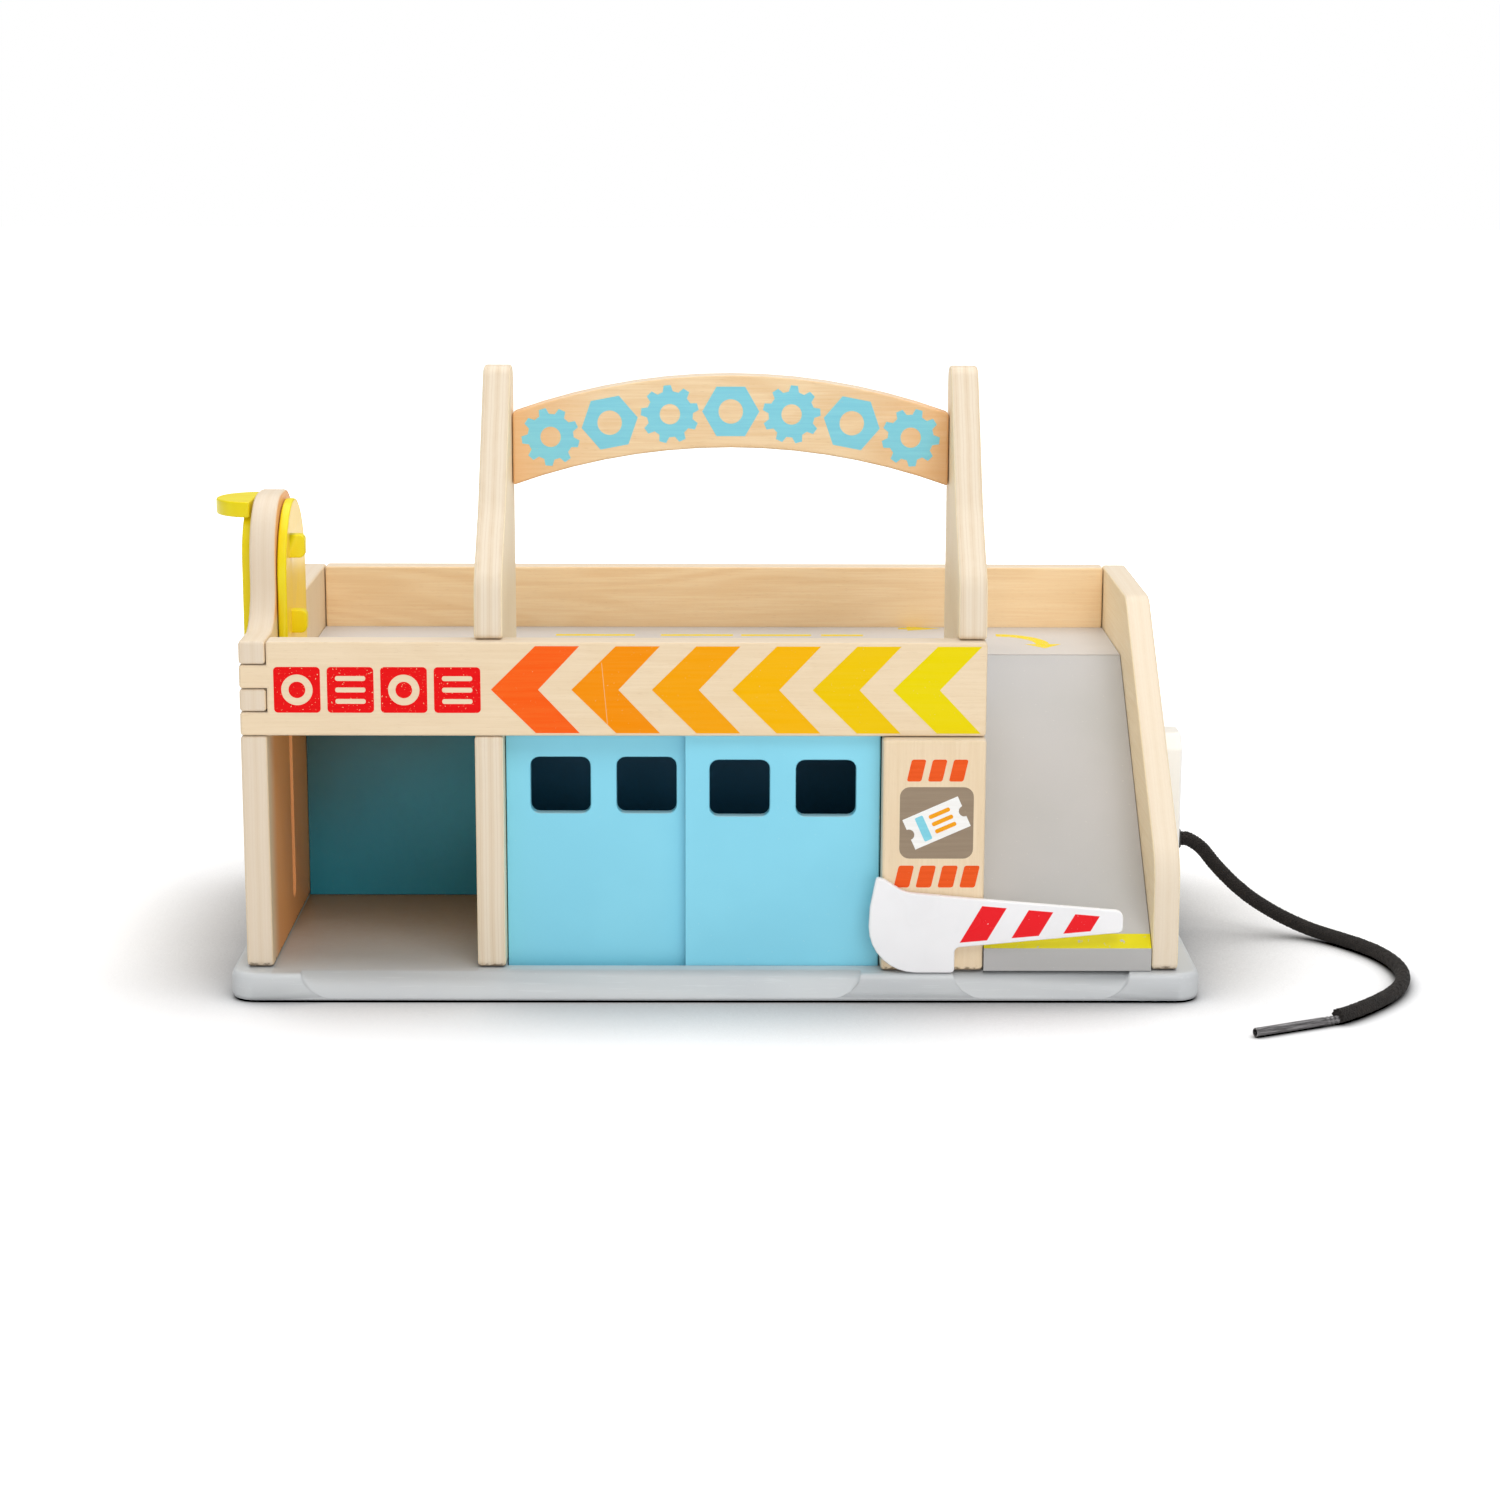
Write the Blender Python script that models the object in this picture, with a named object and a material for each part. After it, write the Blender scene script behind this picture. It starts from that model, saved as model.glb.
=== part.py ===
"""Wooden toy parking garage: base, walls, deck, ramp, lift, sliding doors, barrier and fuel pump.

Metres, +Z up, front towards -Y. The origin is the centre of the base's underside.
"""
import math

import bmesh
import bpy
from mathutils import Vector

# Clearances
SEAT_GAP = 0.0003           # between pieces that are glued or screwed together
RUNNING_GAP = 0.0004        # beside pieces that slide or turn

# Base
BASE_LENGTH = 0.390
BASE_DEPTH = 0.216
BASE_THICKNESS = 0.012
BASE_CORNER_RADIUS = 0.010
BASE_EDGE_ROUND = 0.0025
DRIVEWAY_RUN = 0.0062       # how far the routed slopes reach back from the base's front
DRIVEWAY_LIP = 0.0015       # height left standing at their foot
DRIVEWAY_FLARE = 0.014      # round runout at each end of a slope
LEFT_DRIVEWAY_MARGIN = 0.022
BOOTH_KERB_WIDTH = 0.0365   # level front edge between the two slopes
RIGHT_DRIVEWAY_LENGTH = 0.0715

# Walls and boards
LEFT_MARGIN = 0.0065        # base edge to the left wall
RIGHT_MARGIN = 0.0092
FRONT_MARGIN = 0.0078
REAR_MARGIN = 0.0040
WALL_THICKNESS = 0.0105
FASCIA_THICKNESS = 0.0110
FASCIA_HEIGHT = 0.0380
STOREY_HEIGHT = 0.0955      # base top to deck underside
DECK_THICKNESS = 0.0105
EDGE_ROUND = 0.0011         # small round on every board edge
LEFT_BAY_WIDTH = 0.0822
SERVICE_BAY_WIDTH = 0.1805
POST_THICKNESS = 0.0113
BAY_DEPTH = 0.1167          # front of the walls to the blue back wall
BACK_WALL_THICKNESS = 0.0090

# Posts and sign arch
POST_TOP = 0.2470
POST_REAR_OFFSET = 0.0902   # front of the walls to the rear edge of the posts
POST_FOOT_OFFSET = 0.0035   # the posts' front edge behind the fascia's front
ARCH_THICKNESS = 0.0105
ARCH_HEIGHT = 0.0300
ARCH_RISE = 0.0158
ARCH_DROP = 0.0034          # the posts' tops to the arch's crown
ARCH_SETBACK = 0.0052       # post rear edge to the arch's back

# Booth and ramp
BOOTH_WIDTH = 0.0412
BOOTH_THICKNESS = 0.0110
BOOTH_PROUD = 0.0038        # how far the booth stands in front of the fascia
RAMP_LIP = 0.0095
RAMP_THICKNESS = 0.0080
RAMP_END_OFFSET = 0.1247    # front of the walls to the deck's edge at the ramp
RAIL_HEIGHT = 0.0350        # right wall's edge above the ramp
RAIL_BEND_RADIUS = 0.0120   # where the right wall's level top turns down
RAIL_FOOT_RADIUS = 0.0200

# Lift
LIFT_CENTRE_Y = -0.0320
LIFT_TRAVEL = 0.1000
TOWER_HALF_WIDTH = 0.0310
TOWER_TOP = 0.1960
TOWER_FLARE = 0.0180
SHIELD_WIDTH = 0.0600
SHIELD_THICKNESS = 0.0038
SHIELD_TOP = 0.1930
SHIELD_EDGE = 0.0008
PLATFORM_WIDTH = 0.0700
PLATFORM_DEPTH = 0.0760
PLATFORM_THICKNESS = 0.0045
WELL_GAP = 0.0015           # between platform and deck
TAB_LENGTH = 0.0060
TAB_HEIGHT = 0.0095
TAB_PROUD = 0.0062
TAB_SETBACK = 0.0120        # the shield's front edge to the tabs
TAB_DROP = 0.0172           # the shield's top to the upper tab's middle
TAB_SPACING = 0.0310
TAB_RADIUS = 0.0025
NECK_WIDTH = 0.0080
NECK_HEIGHT = 0.0260
SLOT_FOOT = 0.0240
OUTER_PLATE_THICKNESS = 0.0040
OUTER_PLATE_WIDTH = 0.0440
OUTER_PLATE_HEIGHT = 0.0700
OUTER_PLATE_TOP = 0.1905
OUTER_PLATE_HEAD_RADIUS = 0.0200
OUTER_PLATE_FOOT_RADIUS = 0.0060
LEDGE_THICKNESS = 0.0065
LEDGE_REACH = 0.0128
LEDGE_RADIUS = 0.0170
LEDGE_EDGE = 0.0008
LIFT_SCREW_SPACING = 0.0140

# Doors
DOOR_OVERLAP = 0.0062       # of the closed doors in the middle of their bay
DOOR_THICKNESS = 0.0050
GROOVE_DEPTH = 0.0040
GROOVE_SETBACK = 0.0045     # front of the fascia to the groove
WINDOW_WIDTH = 0.0240
WINDOW_HEIGHT = 0.0230
WINDOW_RADIUS = 0.0035
WINDOW_SPACING = 0.0345
WINDOW_LEVEL = 0.0854

# Barrier
BARRIER_THICKNESS = 0.0032
BARRIER_HUB_RADIUS = 0.0190
BARRIER_HUB_INSET = 0.0140  # booth's left edge to the pivot
BARRIER_REACH = 0.0828      # pivot to the arm's tip
BARRIER_HORN_HEIGHT = 0.0205  # pivot to the hub's upper corner
BARRIER_HORN_INSET = 0.0028   # the hub's side to that corner
BARRIER_HORN_WIDTH = 0.0034
BARRIER_SHOULDER = 0.0142   # pivot to the top edge where the hub runs into the arm
BARRIER_ROOT_TOP = 0.0112   # pivot to the arm's top edge past the hub
BARRIER_ROOT_BOTTOM = 0.0086
BARRIER_TIP_TOP = 0.0066
BARRIER_TIP_BOTTOM = 0.0022
BARRIER_HEEL = 0.0155       # pivot to the flat foot's right end
BARRIER_PIN_RADIUS = 0.0025
BARRIER_WASHER_RADIUS = 0.0055
BARRIER_WASHER_THICKNESS = 0.0015
BARRIER_HEAD_RADIUS = 0.0042
BARRIER_SOCKET_DEPTH = 0.0020

# Rear openings
REAR_OPENING_HEIGHT = 0.0800
REAR_OPENING_RADIUS = 0.0180
REAR_LEG = 0.0240

# Fuel pump and its hose
PUMP_THICKNESS = 0.0120
PUMP_WIDTH = 0.0260
PUMP_HEIGHT = 0.0660
PUMP_TOP = 0.0900
PUMP_CHAMFER = 0.0060
PUMP_CENTRE_Y = 0.0
GROMMET_RADIUS = 0.0046
GROMMET_LENGTH = 0.0018
HOSE_LEVEL = 0.0420
HOSE_DIAMETER = 0.0063
HOSE_STRAIGHT = 0.0050      # the hose leaves the pump straight for this length
HOSE_STEP = 0.0140          # spacing of the points along the hose
NOZZLE_DIAMETER = 0.0036
NOZZLE_LENGTH = 0.0400
NOZZLE_BORE_RADIUS = 0.0012
NOZZLE_BORE_DEPTH = 0.0120

# Screws
SCREW_SHANK_RADIUS = 0.0012
SCREW_HEAD_RADIUS = 0.0030
SCREW_HEAD_HEIGHT = 0.0016
SCREW_BITE = 0.0100         # how far a base screw enters its board
SCREW_SIDES = 10

ARC_TOLERANCE = 0.00008     # how far a chord may lie inside its arc
SHARP_ANGLE = math.radians(40)
OVERCUT = 0.0010            # how far a cutter runs past the face it opens

# Places worked out from the sizes above
base_top = BASE_THICKNESS
board_foot = base_top + SEAT_GAP
left_x = -BASE_LENGTH / 2 + LEFT_MARGIN
right_x = BASE_LENGTH / 2 - RIGHT_MARGIN
front_y = -BASE_DEPTH / 2 + FRONT_MARGIN
rear_y = BASE_DEPTH / 2 - REAR_MARGIN
left_inner = left_x + WALL_THICKNESS
right_inner = right_x - WALL_THICKNESS
fascia_back = front_y + FASCIA_THICKNESS
deck_low = base_top + STOREY_HEIGHT
deck_top = deck_low + DECK_THICKNESS
wall_top = deck_low + FASCIA_HEIGHT
board_head = deck_low - SEAT_GAP
rear_inner = rear_y - WALL_THICKNESS
bay_back_y = front_y + BAY_DEPTH

left_post_x = left_inner + LEFT_BAY_WIDTH
service_left = left_post_x + POST_THICKNESS
right_post_x = service_left + SERVICE_BAY_WIDTH
right_post_outer = right_post_x + POST_THICKNESS
post_rear = front_y + POST_REAR_OFFSET

booth_left = right_post_outer - BOOTH_WIDTH
booth_front = front_y - BOOTH_PROUD
booth_back = booth_front + BOOTH_THICKNESS

ramp_left = right_post_outer + SEAT_GAP
ramp_right = right_inner - SEAT_GAP
ramp_front = booth_front
ramp_end = front_y + RAMP_END_OFFSET
ramp_foot_z = base_top + RAMP_LIP
ramp_slope = (deck_top - ramp_foot_z) / (ramp_end - ramp_front)
ramp_drop = RAMP_THICKNESS * math.sqrt(1 + ramp_slope ** 2)

groove_front = front_y + GROOVE_SETBACK
groove_width = 2 * DOOR_THICKNESS + 3 * RUNNING_GAP
door_width = (booth_left - service_left - 2 * RUNNING_GAP + DOOR_OVERLAP) / 2
door_low = base_top - GROOVE_DEPTH + SEAT_GAP
door_high = deck_low + GROOVE_DEPTH - SEAT_GAP

neck_low = SLOT_FOOT + RUNNING_GAP + LIFT_TRAVEL
neck_high = neck_low + NECK_HEIGHT
shield_outer = left_inner + RUNNING_GAP
shield_inner = shield_outer + SHIELD_THICKNESS
plate_inner = left_x - RUNNING_GAP
plate_outer = plate_inner - OUTER_PLATE_THICKNESS
platform_right = shield_outer + PLATFORM_WIDTH

pivot_x = booth_left + BARRIER_HUB_INSET
pivot_z = board_foot + BARRIER_HUB_RADIUS
barrier_back = booth_front - RUNNING_GAP
barrier_front = barrier_back - BARRIER_THICKNESS

hose_exit_x = right_x + SEAT_GAP + PUMP_THICKNESS + SEAT_GAP + GROMMET_LENGTH + SEAT_GAP


def clear_scene():
    for thing in list(bpy.data.objects):
        bpy.data.objects.remove(thing, do_unlink=True)


def linear(*srgb):
    """A colour given as 0 to 255 screen values, as the shader's linear values."""
    shades = [value / 255 for value in srgb]
    return [s / 12.92 if s <= 0.04045 else ((s + 0.055) / 1.055) ** 2.4 for s in shades] + [1]


def make_material(name, colour, roughness, metallic=0.0):
    material = bpy.data.materials.new(name)
    material.use_nodes = True
    shader = material.node_tree.nodes["Principled BSDF"]
    shader.inputs["Base Color"].default_value = colour
    shader.inputs["Roughness"].default_value = roughness
    shader.inputs["Metallic"].default_value = metallic
    material.diffuse_color = colour
    return material


def finish(mesh, name, material):
    """Put a bmesh into the scene as an object."""
    bmesh.ops.recalc_face_normals(mesh, faces=mesh.faces)
    data = bpy.data.meshes.new(name)
    mesh.to_mesh(data)
    mesh.free()
    data.shade_smooth()
    data.set_sharp_from_angle(angle=math.radians(30))
    thing = bpy.data.objects.new(name, data)
    bpy.context.scene.collection.objects.link(thing)
    if material:
        data.materials.append(material)
    return thing


def rounded(corners):
    """Outline through corners (a, b, radius), with each fillet an arc of short chords."""
    outline = []
    for index, (a, b, radius) in enumerate(corners):
        here = Vector((a, b))
        before = Vector(corners[index - 1][:2]) - here
        after = Vector(corners[(index + 1) % len(corners)][:2]) - here
        turn = before.angle(after)
        if radius <= 0 or abs(turn - math.pi) < 0.01:
            outline.append(here)
            continue
        reach = min(radius / math.tan(turn / 2), before.length / 2, after.length / 2)
        radius = reach * math.tan(turn / 2)
        centre = here + (before.normalized() + after.normalized()).normalized() * radius / math.sin(turn / 2)
        first = here + before.normalized() * reach - centre
        last = here + after.normalized() * reach - centre
        sweep = first.angle_signed(last)
        widest_step = 2 * math.acos(max(0.5, 1 - ARC_TOLERANCE / radius))
        steps = max(2, math.ceil(abs(sweep) / widest_step))
        for step in range(steps + 1):
            angle = -sweep * step / steps
            outline.append(centre + Vector((
                first.x * math.cos(angle) - first.y * math.sin(angle),
                first.x * math.sin(angle) + first.y * math.cos(angle))))
    return [point for point, last in zip(outline, outline[-1:] + outline) if (point - last).length > 1e-6]


def rectangle(a_low, a_high, b_low, b_high, radius=0.0):
    return rounded([(a_low, b_low, radius), (a_high, b_low, radius),
                    (a_high, b_high, radius), (a_low, b_high, radius)])


def slab(name, outline, across, low, high, material=None, edge=0.0, edge_steps=2):
    """A board whose outline lies square to an axis, and which reaches from low to high along it."""
    place = {"X": lambda a, b, t: (t, a, b), "Y": lambda a, b, t: (a, t, b), "Z": lambda a, b, t: (a, b, t)}
    mesh = bmesh.new()
    corners = [mesh.verts.new(place[across](a, b, low)) for a, b in outline]
    face = mesh.faces.new(corners)
    made = bmesh.ops.extrude_face_region(mesh, geom=[face])
    step = Vector(place[across](0, 0, high - low))
    bmesh.ops.translate(mesh, vec=step, verts=[v for v in made["geom"] if isinstance(v, bmesh.types.BMVert)])
    mark_outer_edges(mesh)
    board = finish(mesh, name, material)
    if edge > 0:
        soften(board, edge, edge_steps, "WEIGHT")
    return board


def mark_outer_edges(mesh):
    """Give each sharp outward edge a bevel weight. Inner corners, where a neighbour seats, stay sharp."""
    bmesh.ops.recalc_face_normals(mesh, faces=mesh.faces)
    weight = mesh.edges.layers.float.new("bevel_weight_edge")
    for edge in mesh.edges:
        if edge.is_convex and edge.calc_face_angle() > SHARP_ANGLE:
            edge[weight] = 1.0


def soften(thing, width, steps=2, limit="ANGLE"):
    """Round the sharp edges that a piece has so far, or only the marked ones."""
    bevel = thing.modifiers.new("edge_round", "BEVEL")
    bevel.width = width
    bevel.segments = steps
    bevel.limit_method = limit
    bevel.angle_limit = SHARP_ANGLE


def turned(name, profile, centre, axis, material=None, sides=16):
    """A turned piece: profile is (radius, distance) pairs along the axis, both ends on the axis."""
    spin_axis = Vector(axis).normalized()
    side = spin_axis.orthogonal().normalized()
    other = spin_axis.cross(side)
    mesh = bmesh.new()
    rings = []
    for radius, distance in profile:
        middle = Vector(centre) + spin_axis * distance
        if radius == 0:
            rings.append([mesh.verts.new(middle)])
            continue
        angles = [2 * math.pi * (k + 0.5) / sides for k in range(sides)]
        rings.append([mesh.verts.new(middle + (side * math.cos(t) + other * math.sin(t)) * radius)
                      for t in angles])
    for ring, following in zip(rings, rings[1:]):
        for k in range(sides):
            nxt = (k + 1) % sides
            corners = [ring[k % len(ring)], ring[nxt % len(ring)],
                       following[nxt % len(following)], following[k % len(following)]]
            mesh.faces.new(list(dict.fromkeys(corners)))
    return finish(mesh, name, material)


def hide_tool(tool):
    tool.hide_render = True
    tool.display_type = "WIRE"


def combine(thing, tool, operation):
    """Cut a tool from a piece, or add it, and keep the tool as a hidden guide."""
    hide_tool(tool)
    boolean = thing.modifiers.new(operation.lower(), "BOOLEAN")
    boolean.operation = operation
    boolean.object = tool
    boolean.solver = "EXACT"


def cut(thing, tool):
    combine(thing, tool, "DIFFERENCE")


def add(thing, tool):
    combine(thing, tool, "UNION")


def driveway_cutter(name, start, end):
    """Sloped cut in the base's front edge, with ends that run out in an arc."""
    front = -BASE_DEPTH / 2
    back = front + DRIVEWAY_RUN
    slope = (base_top - DRIVEWAY_LIP) / DRIVEWAY_RUN
    high = base_top + OVERCUT
    wedge = slab(name, [(front - OVERCUT, DRIVEWAY_LIP - slope * OVERCUT), (back + OVERCUT / slope, high),
                        (front - OVERCUT, high)], "X", start, end)
    drop = base_top - DRIVEWAY_LIP
    runout = [(DRIVEWAY_FLARE * (1 - math.cos(t)), base_top - drop * math.sin(t))
              for t in (0, math.pi / 8, math.pi / 4, 3 * math.pi / 8, math.pi / 2)]
    left_side = [(start + inset, level) for inset, level in runout]
    right_side = [(end - inset, level) for inset, level in reversed(runout)]
    low = DRIVEWAY_LIP - slope * OVERCUT - OVERCUT
    outline = [(start, high)] + left_side + [(left_side[-1][0], low), (right_side[0][0], low)]
    outline += right_side + [(end, high)]
    window = slab(name + "_window", outline, "Y", front - 2 * OVERCUT, back + 2 * OVERCUT)
    combine(wedge, window, "INTERSECT")
    return wedge


def make_base(material):
    base = slab("base_board", rectangle(-BASE_LENGTH / 2, BASE_LENGTH / 2, -BASE_DEPTH / 2, BASE_DEPTH / 2,
                                        BASE_CORNER_RADIUS), "Z", 0, base_top, material, BASE_EDGE_ROUND)
    groove = slab("base_groove_cutter", rectangle(groove_front, groove_front + groove_width,
                                                  base_top - GROOVE_DEPTH, base_top + OVERCUT),
                  "X", service_left, booth_left)
    cut(base, groove)
    kerb_left = (booth_left + right_post_outer) / 2 - BOOTH_KERB_WIDTH / 2 - BASE_CORNER_RADIUS
    cut(base, driveway_cutter("left_driveway_cutter", left_x + LEFT_DRIVEWAY_MARGIN, kerb_left))
    kerb_right = kerb_left + BOOTH_KERB_WIDTH
    cut(base, driveway_cutter("right_driveway_cutter", kerb_right, kerb_right + RIGHT_DRIVEWAY_LENGTH))
    return base


def finger_levels():
    """Heights of the finger joint's steps, from the bottom up."""
    return [deck_low + FASCIA_HEIGHT * k / 4 for k in range(5)]


def make_left_wall(material):
    levels = finger_levels()
    seat = fascia_back + SEAT_GAP
    tower_front = LIFT_CENTRE_Y - TOWER_HALF_WIDTH
    tower_rear = LIFT_CENTRE_Y + TOWER_HALF_WIDTH
    outline = rounded([
        (front_y, board_foot, 0.003), (rear_y, board_foot, 0.003), (rear_y, wall_top, 0.003),
        (tower_rear, wall_top, TOWER_FLARE), (tower_rear, TOWER_TOP, TOWER_HALF_WIDTH),
        (tower_front, TOWER_TOP, TOWER_HALF_WIDTH), (tower_front, wall_top, TOWER_FLARE),
        (front_y, wall_top, 0.0015), (front_y, levels[3] + SEAT_GAP, 0), (seat, levels[3] + SEAT_GAP, 0),
        (seat, levels[2] - SEAT_GAP, 0), (front_y, levels[2] - SEAT_GAP, 0),
        (front_y, levels[1] + SEAT_GAP, 0), (seat, levels[1] + SEAT_GAP, 0),
        (seat, levels[0] - SEAT_GAP, 0), (front_y, levels[0] - SEAT_GAP, 0)])
    wall = slab("left_wall", outline, "X", left_x, left_inner, material, EDGE_ROUND)
    half = NECK_WIDTH / 2 + RUNNING_GAP
    slot = slab("lift_slot_cutter", rectangle(LIFT_CENTRE_Y - half, LIFT_CENTRE_Y + half, SLOT_FOOT,
                                              neck_high + RUNNING_GAP, half),
                "X", left_x - OVERCUT, left_inner + OVERCUT)
    cut(wall, slot)
    return wall


def make_right_wall(material):
    rail_foot = ramp_foot_z + RAIL_HEIGHT
    bend_y = ramp_front + (wall_top - rail_foot) / ramp_slope
    outline = rounded([
        (ramp_front, board_foot, 0.003), (rear_y, board_foot, 0.003), (rear_y, wall_top, 0.003),
        (bend_y, wall_top, RAIL_BEND_RADIUS), (ramp_front, rail_foot, RAIL_FOOT_RADIUS)])
    return slab("right_wall", outline, "X", right_inner, right_x, material, EDGE_ROUND)


def make_rear_wall(material):
    """Rear wall with two wide round-cornered openings, which stands on three legs."""
    low = left_inner + SEAT_GAP
    high = right_inner - SEAT_GAP
    middle = (low + high) / 2
    head = base_top + REAR_OPENING_HEIGHT
    corners = [
        (low, board_foot, 0), (low + REAR_LEG, board_foot, 0),
        (low + REAR_LEG, head, REAR_OPENING_RADIUS),
        (middle - REAR_LEG / 2, head, REAR_OPENING_RADIUS), (middle - REAR_LEG / 2, board_foot, 0),
        (middle + REAR_LEG / 2, board_foot, 0), (middle + REAR_LEG / 2, head, REAR_OPENING_RADIUS),
        (high - REAR_LEG, head, REAR_OPENING_RADIUS), (high - REAR_LEG, board_foot, 0),
        (high, board_foot, 0), (high, wall_top, 0), (low, wall_top, 0)]
    return slab("rear_wall", rounded(corners), "Y", rear_inner, rear_y, material, EDGE_ROUND)


def make_back_wall(material):
    """Blue wall behind the bays, lowered where the ramp lies on it."""
    low = left_inner + SEAT_GAP
    seat_z = ramp_foot_z + ramp_slope * (bay_back_y - ramp_front) - ramp_drop - SEAT_GAP
    outline = [(low, board_foot), (ramp_right, board_foot), (ramp_right, seat_z),
               (right_post_outer, seat_z), (right_post_outer, board_head), (low, board_head)]
    return slab("bay_back_wall", outline, "Y", bay_back_y, bay_back_y + BACK_WALL_THICKNESS, material)


def make_fascia(material):
    levels = finger_levels()
    seat = left_inner + SEAT_GAP
    outline = rounded([
        (left_x, levels[0], 0), (right_post_outer, levels[0], 0.0015), (right_post_outer, wall_top, 0.0015),
        (seat, wall_top, 0), (seat, levels[3], 0), (left_x, levels[3], 0), (left_x, levels[2], 0),
        (seat, levels[2], 0), (seat, levels[1], 0), (left_x, levels[1], 0)])
    fascia = slab("front_fascia", outline, "Y", front_y, fascia_back, material, EDGE_ROUND)
    cut(fascia, upper_groove_cutter("fascia_groove_cutter"))
    return fascia


def upper_groove_cutter(name):
    return slab(name, rectangle(groove_front, groove_front + groove_width, deck_low - OVERCUT,
                                deck_low + GROOVE_DEPTH), "X", service_left, booth_left)


def make_deck(material):
    """Upper deck, notched for the posts, the lift well and the ramp."""
    low = left_inner + SEAT_GAP
    high = right_inner - SEAT_GAP
    front = fascia_back + SEAT_GAP
    back = rear_inner - SEAT_GAP
    slot_back = post_rear + SEAT_GAP
    well_front = LIFT_CENTRE_Y - PLATFORM_DEPTH / 2 - WELL_GAP
    well_back = LIFT_CENTRE_Y + PLATFORM_DEPTH / 2 + WELL_GAP
    well_right = platform_right + WELL_GAP
    outline = rounded([
        (low, front, 0), (left_post_x - SEAT_GAP, front, 0), (left_post_x - SEAT_GAP, slot_back, 0),
        (service_left + SEAT_GAP, slot_back, 0), (service_left + SEAT_GAP, front, 0),
        (right_post_x - SEAT_GAP, front, 0), (right_post_x - SEAT_GAP, slot_back, 0),
        (right_post_outer, slot_back, 0), (right_post_outer, ramp_end, 0), (high, ramp_end, 0),
        (high, back, 0), (low, back, 0), (low, well_back, 0), (well_right, well_back, 0.004),
        (well_right, well_front, 0.004), (low, well_front, 0)])
    deck = slab("deck_board", outline, "Z", deck_low, deck_top, material)
    cut(deck, upper_groove_cutter("deck_groove_cutter"))
    return deck


def upper_post_corners():
    """Curved sail of a post above the deck, from its rear foot round to its front foot."""
    foot_front = front_y + POST_FOOT_OFFSET
    return [(post_rear, POST_TOP, 0.008), (post_rear - 0.017, POST_TOP, 0.008),
            (post_rear - 0.056, POST_TOP - 0.053, 0.030), (foot_front + 0.0015, POST_TOP - 0.079, 0.014),
            (foot_front, wall_top + SEAT_GAP, 0.002), (fascia_back + SEAT_GAP, wall_top + SEAT_GAP, 0)]


def make_post(name, low_x, foot_front, material):
    """Partition below the deck and sail-shaped post above it, in one board."""
    back = bay_back_y - SEAT_GAP
    corners = [(foot_front, board_foot, 0.003), (back, board_foot, 0), (back, board_head, 0),
               (post_rear, board_head, 0)]
    corners += upper_post_corners()
    corners += [(fascia_back + SEAT_GAP, board_head, 0), (foot_front, board_head, 0)]
    return slab(name, rounded(corners), "X", low_x, low_x + POST_THICKNESS, material, EDGE_ROUND)


def make_sign_arch(material):
    low = service_left + SEAT_GAP
    high = right_post_x - SEAT_GAP
    half = (high - low) / 2
    middle = (low + high) / 2
    radius = (half ** 2 + ARCH_RISE ** 2) / (2 * ARCH_RISE)
    spread = math.asin(half / radius)
    steps = 14
    angles = [-spread + 2 * spread * k / steps for k in range(steps + 1)]
    crown = POST_TOP - ARCH_DROP
    top = [(middle + radius * math.sin(t), crown - radius * (1 - math.cos(t))) for t in angles]
    bottom = [(a, b - ARCH_HEIGHT) for a, b in reversed(top)]
    back = post_rear - ARCH_SETBACK
    return slab("sign_arch", top + bottom, "Y", back - ARCH_THICKNESS, back, material, EDGE_ROUND)


def make_booth(material):
    booth = slab("booth_panel", rectangle(booth_left, right_post_outer, board_foot, board_head, 0.0015),
                 "Y", booth_front, booth_back, material, 0.0018)
    hole = turned("booth_hole_cutter", [(0, 0), (BARRIER_PIN_RADIUS + RUNNING_GAP, 0),
                                        (BARRIER_PIN_RADIUS + RUNNING_GAP, BOOTH_THICKNESS + 2 * OVERCUT),
                                        (0, BOOTH_THICKNESS + 2 * OVERCUT)],
                  (pivot_x, booth_front - OVERCUT, pivot_z), (0, 1, 0))
    cut(booth, hole)
    return booth


def make_ramp(material):
    end = ramp_end - SEAT_GAP
    head = ramp_foot_z + ramp_slope * (end - ramp_front)
    foot_back = ramp_front + (board_foot - ramp_foot_z + ramp_drop) / ramp_slope
    outline = [(ramp_front, board_foot), (foot_back, board_foot), (end, head - ramp_drop), (end, head),
               (ramp_front, ramp_foot_z)]
    return slab("ramp_board", outline, "X", ramp_left, ramp_right, material)


def make_door(name, left_edge, track_front, material):
    """Sliding door with two finger windows. Its origin is its lower left corner, on its track."""
    door = slab(name, rectangle(0, door_width, 0, door_high - door_low), "Y", 0, DOOR_THICKNESS, material)
    door.location = (left_edge, track_front, door_low)
    for index, offset in enumerate((-WINDOW_SPACING / 2, WINDOW_SPACING / 2)):
        middle = door_width / 2 + offset
        level = WINDOW_LEVEL - door_low
        window = slab(f"{name}_window_cutter_{index}", rectangle(
            middle - WINDOW_WIDTH / 2, middle + WINDOW_WIDTH / 2, level - WINDOW_HEIGHT / 2,
            level + WINDOW_HEIGHT / 2, WINDOW_RADIUS), "Y", -OVERCUT, DOOR_THICKNESS + OVERCUT)
        window.location = door.location
        cut(door, window)
    soften(door, 0.0005, 1)
    return door


def make_doors(material):
    """The left door runs on the rear track and the right door in front of it."""
    rear_track = groove_front + RUNNING_GAP + DOOR_THICKNESS + RUNNING_GAP
    make_door("left_door", service_left + RUNNING_GAP, rear_track, material)
    make_door("right_door", booth_left - RUNNING_GAP - door_width, groove_front + RUNNING_GAP, material)


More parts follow.
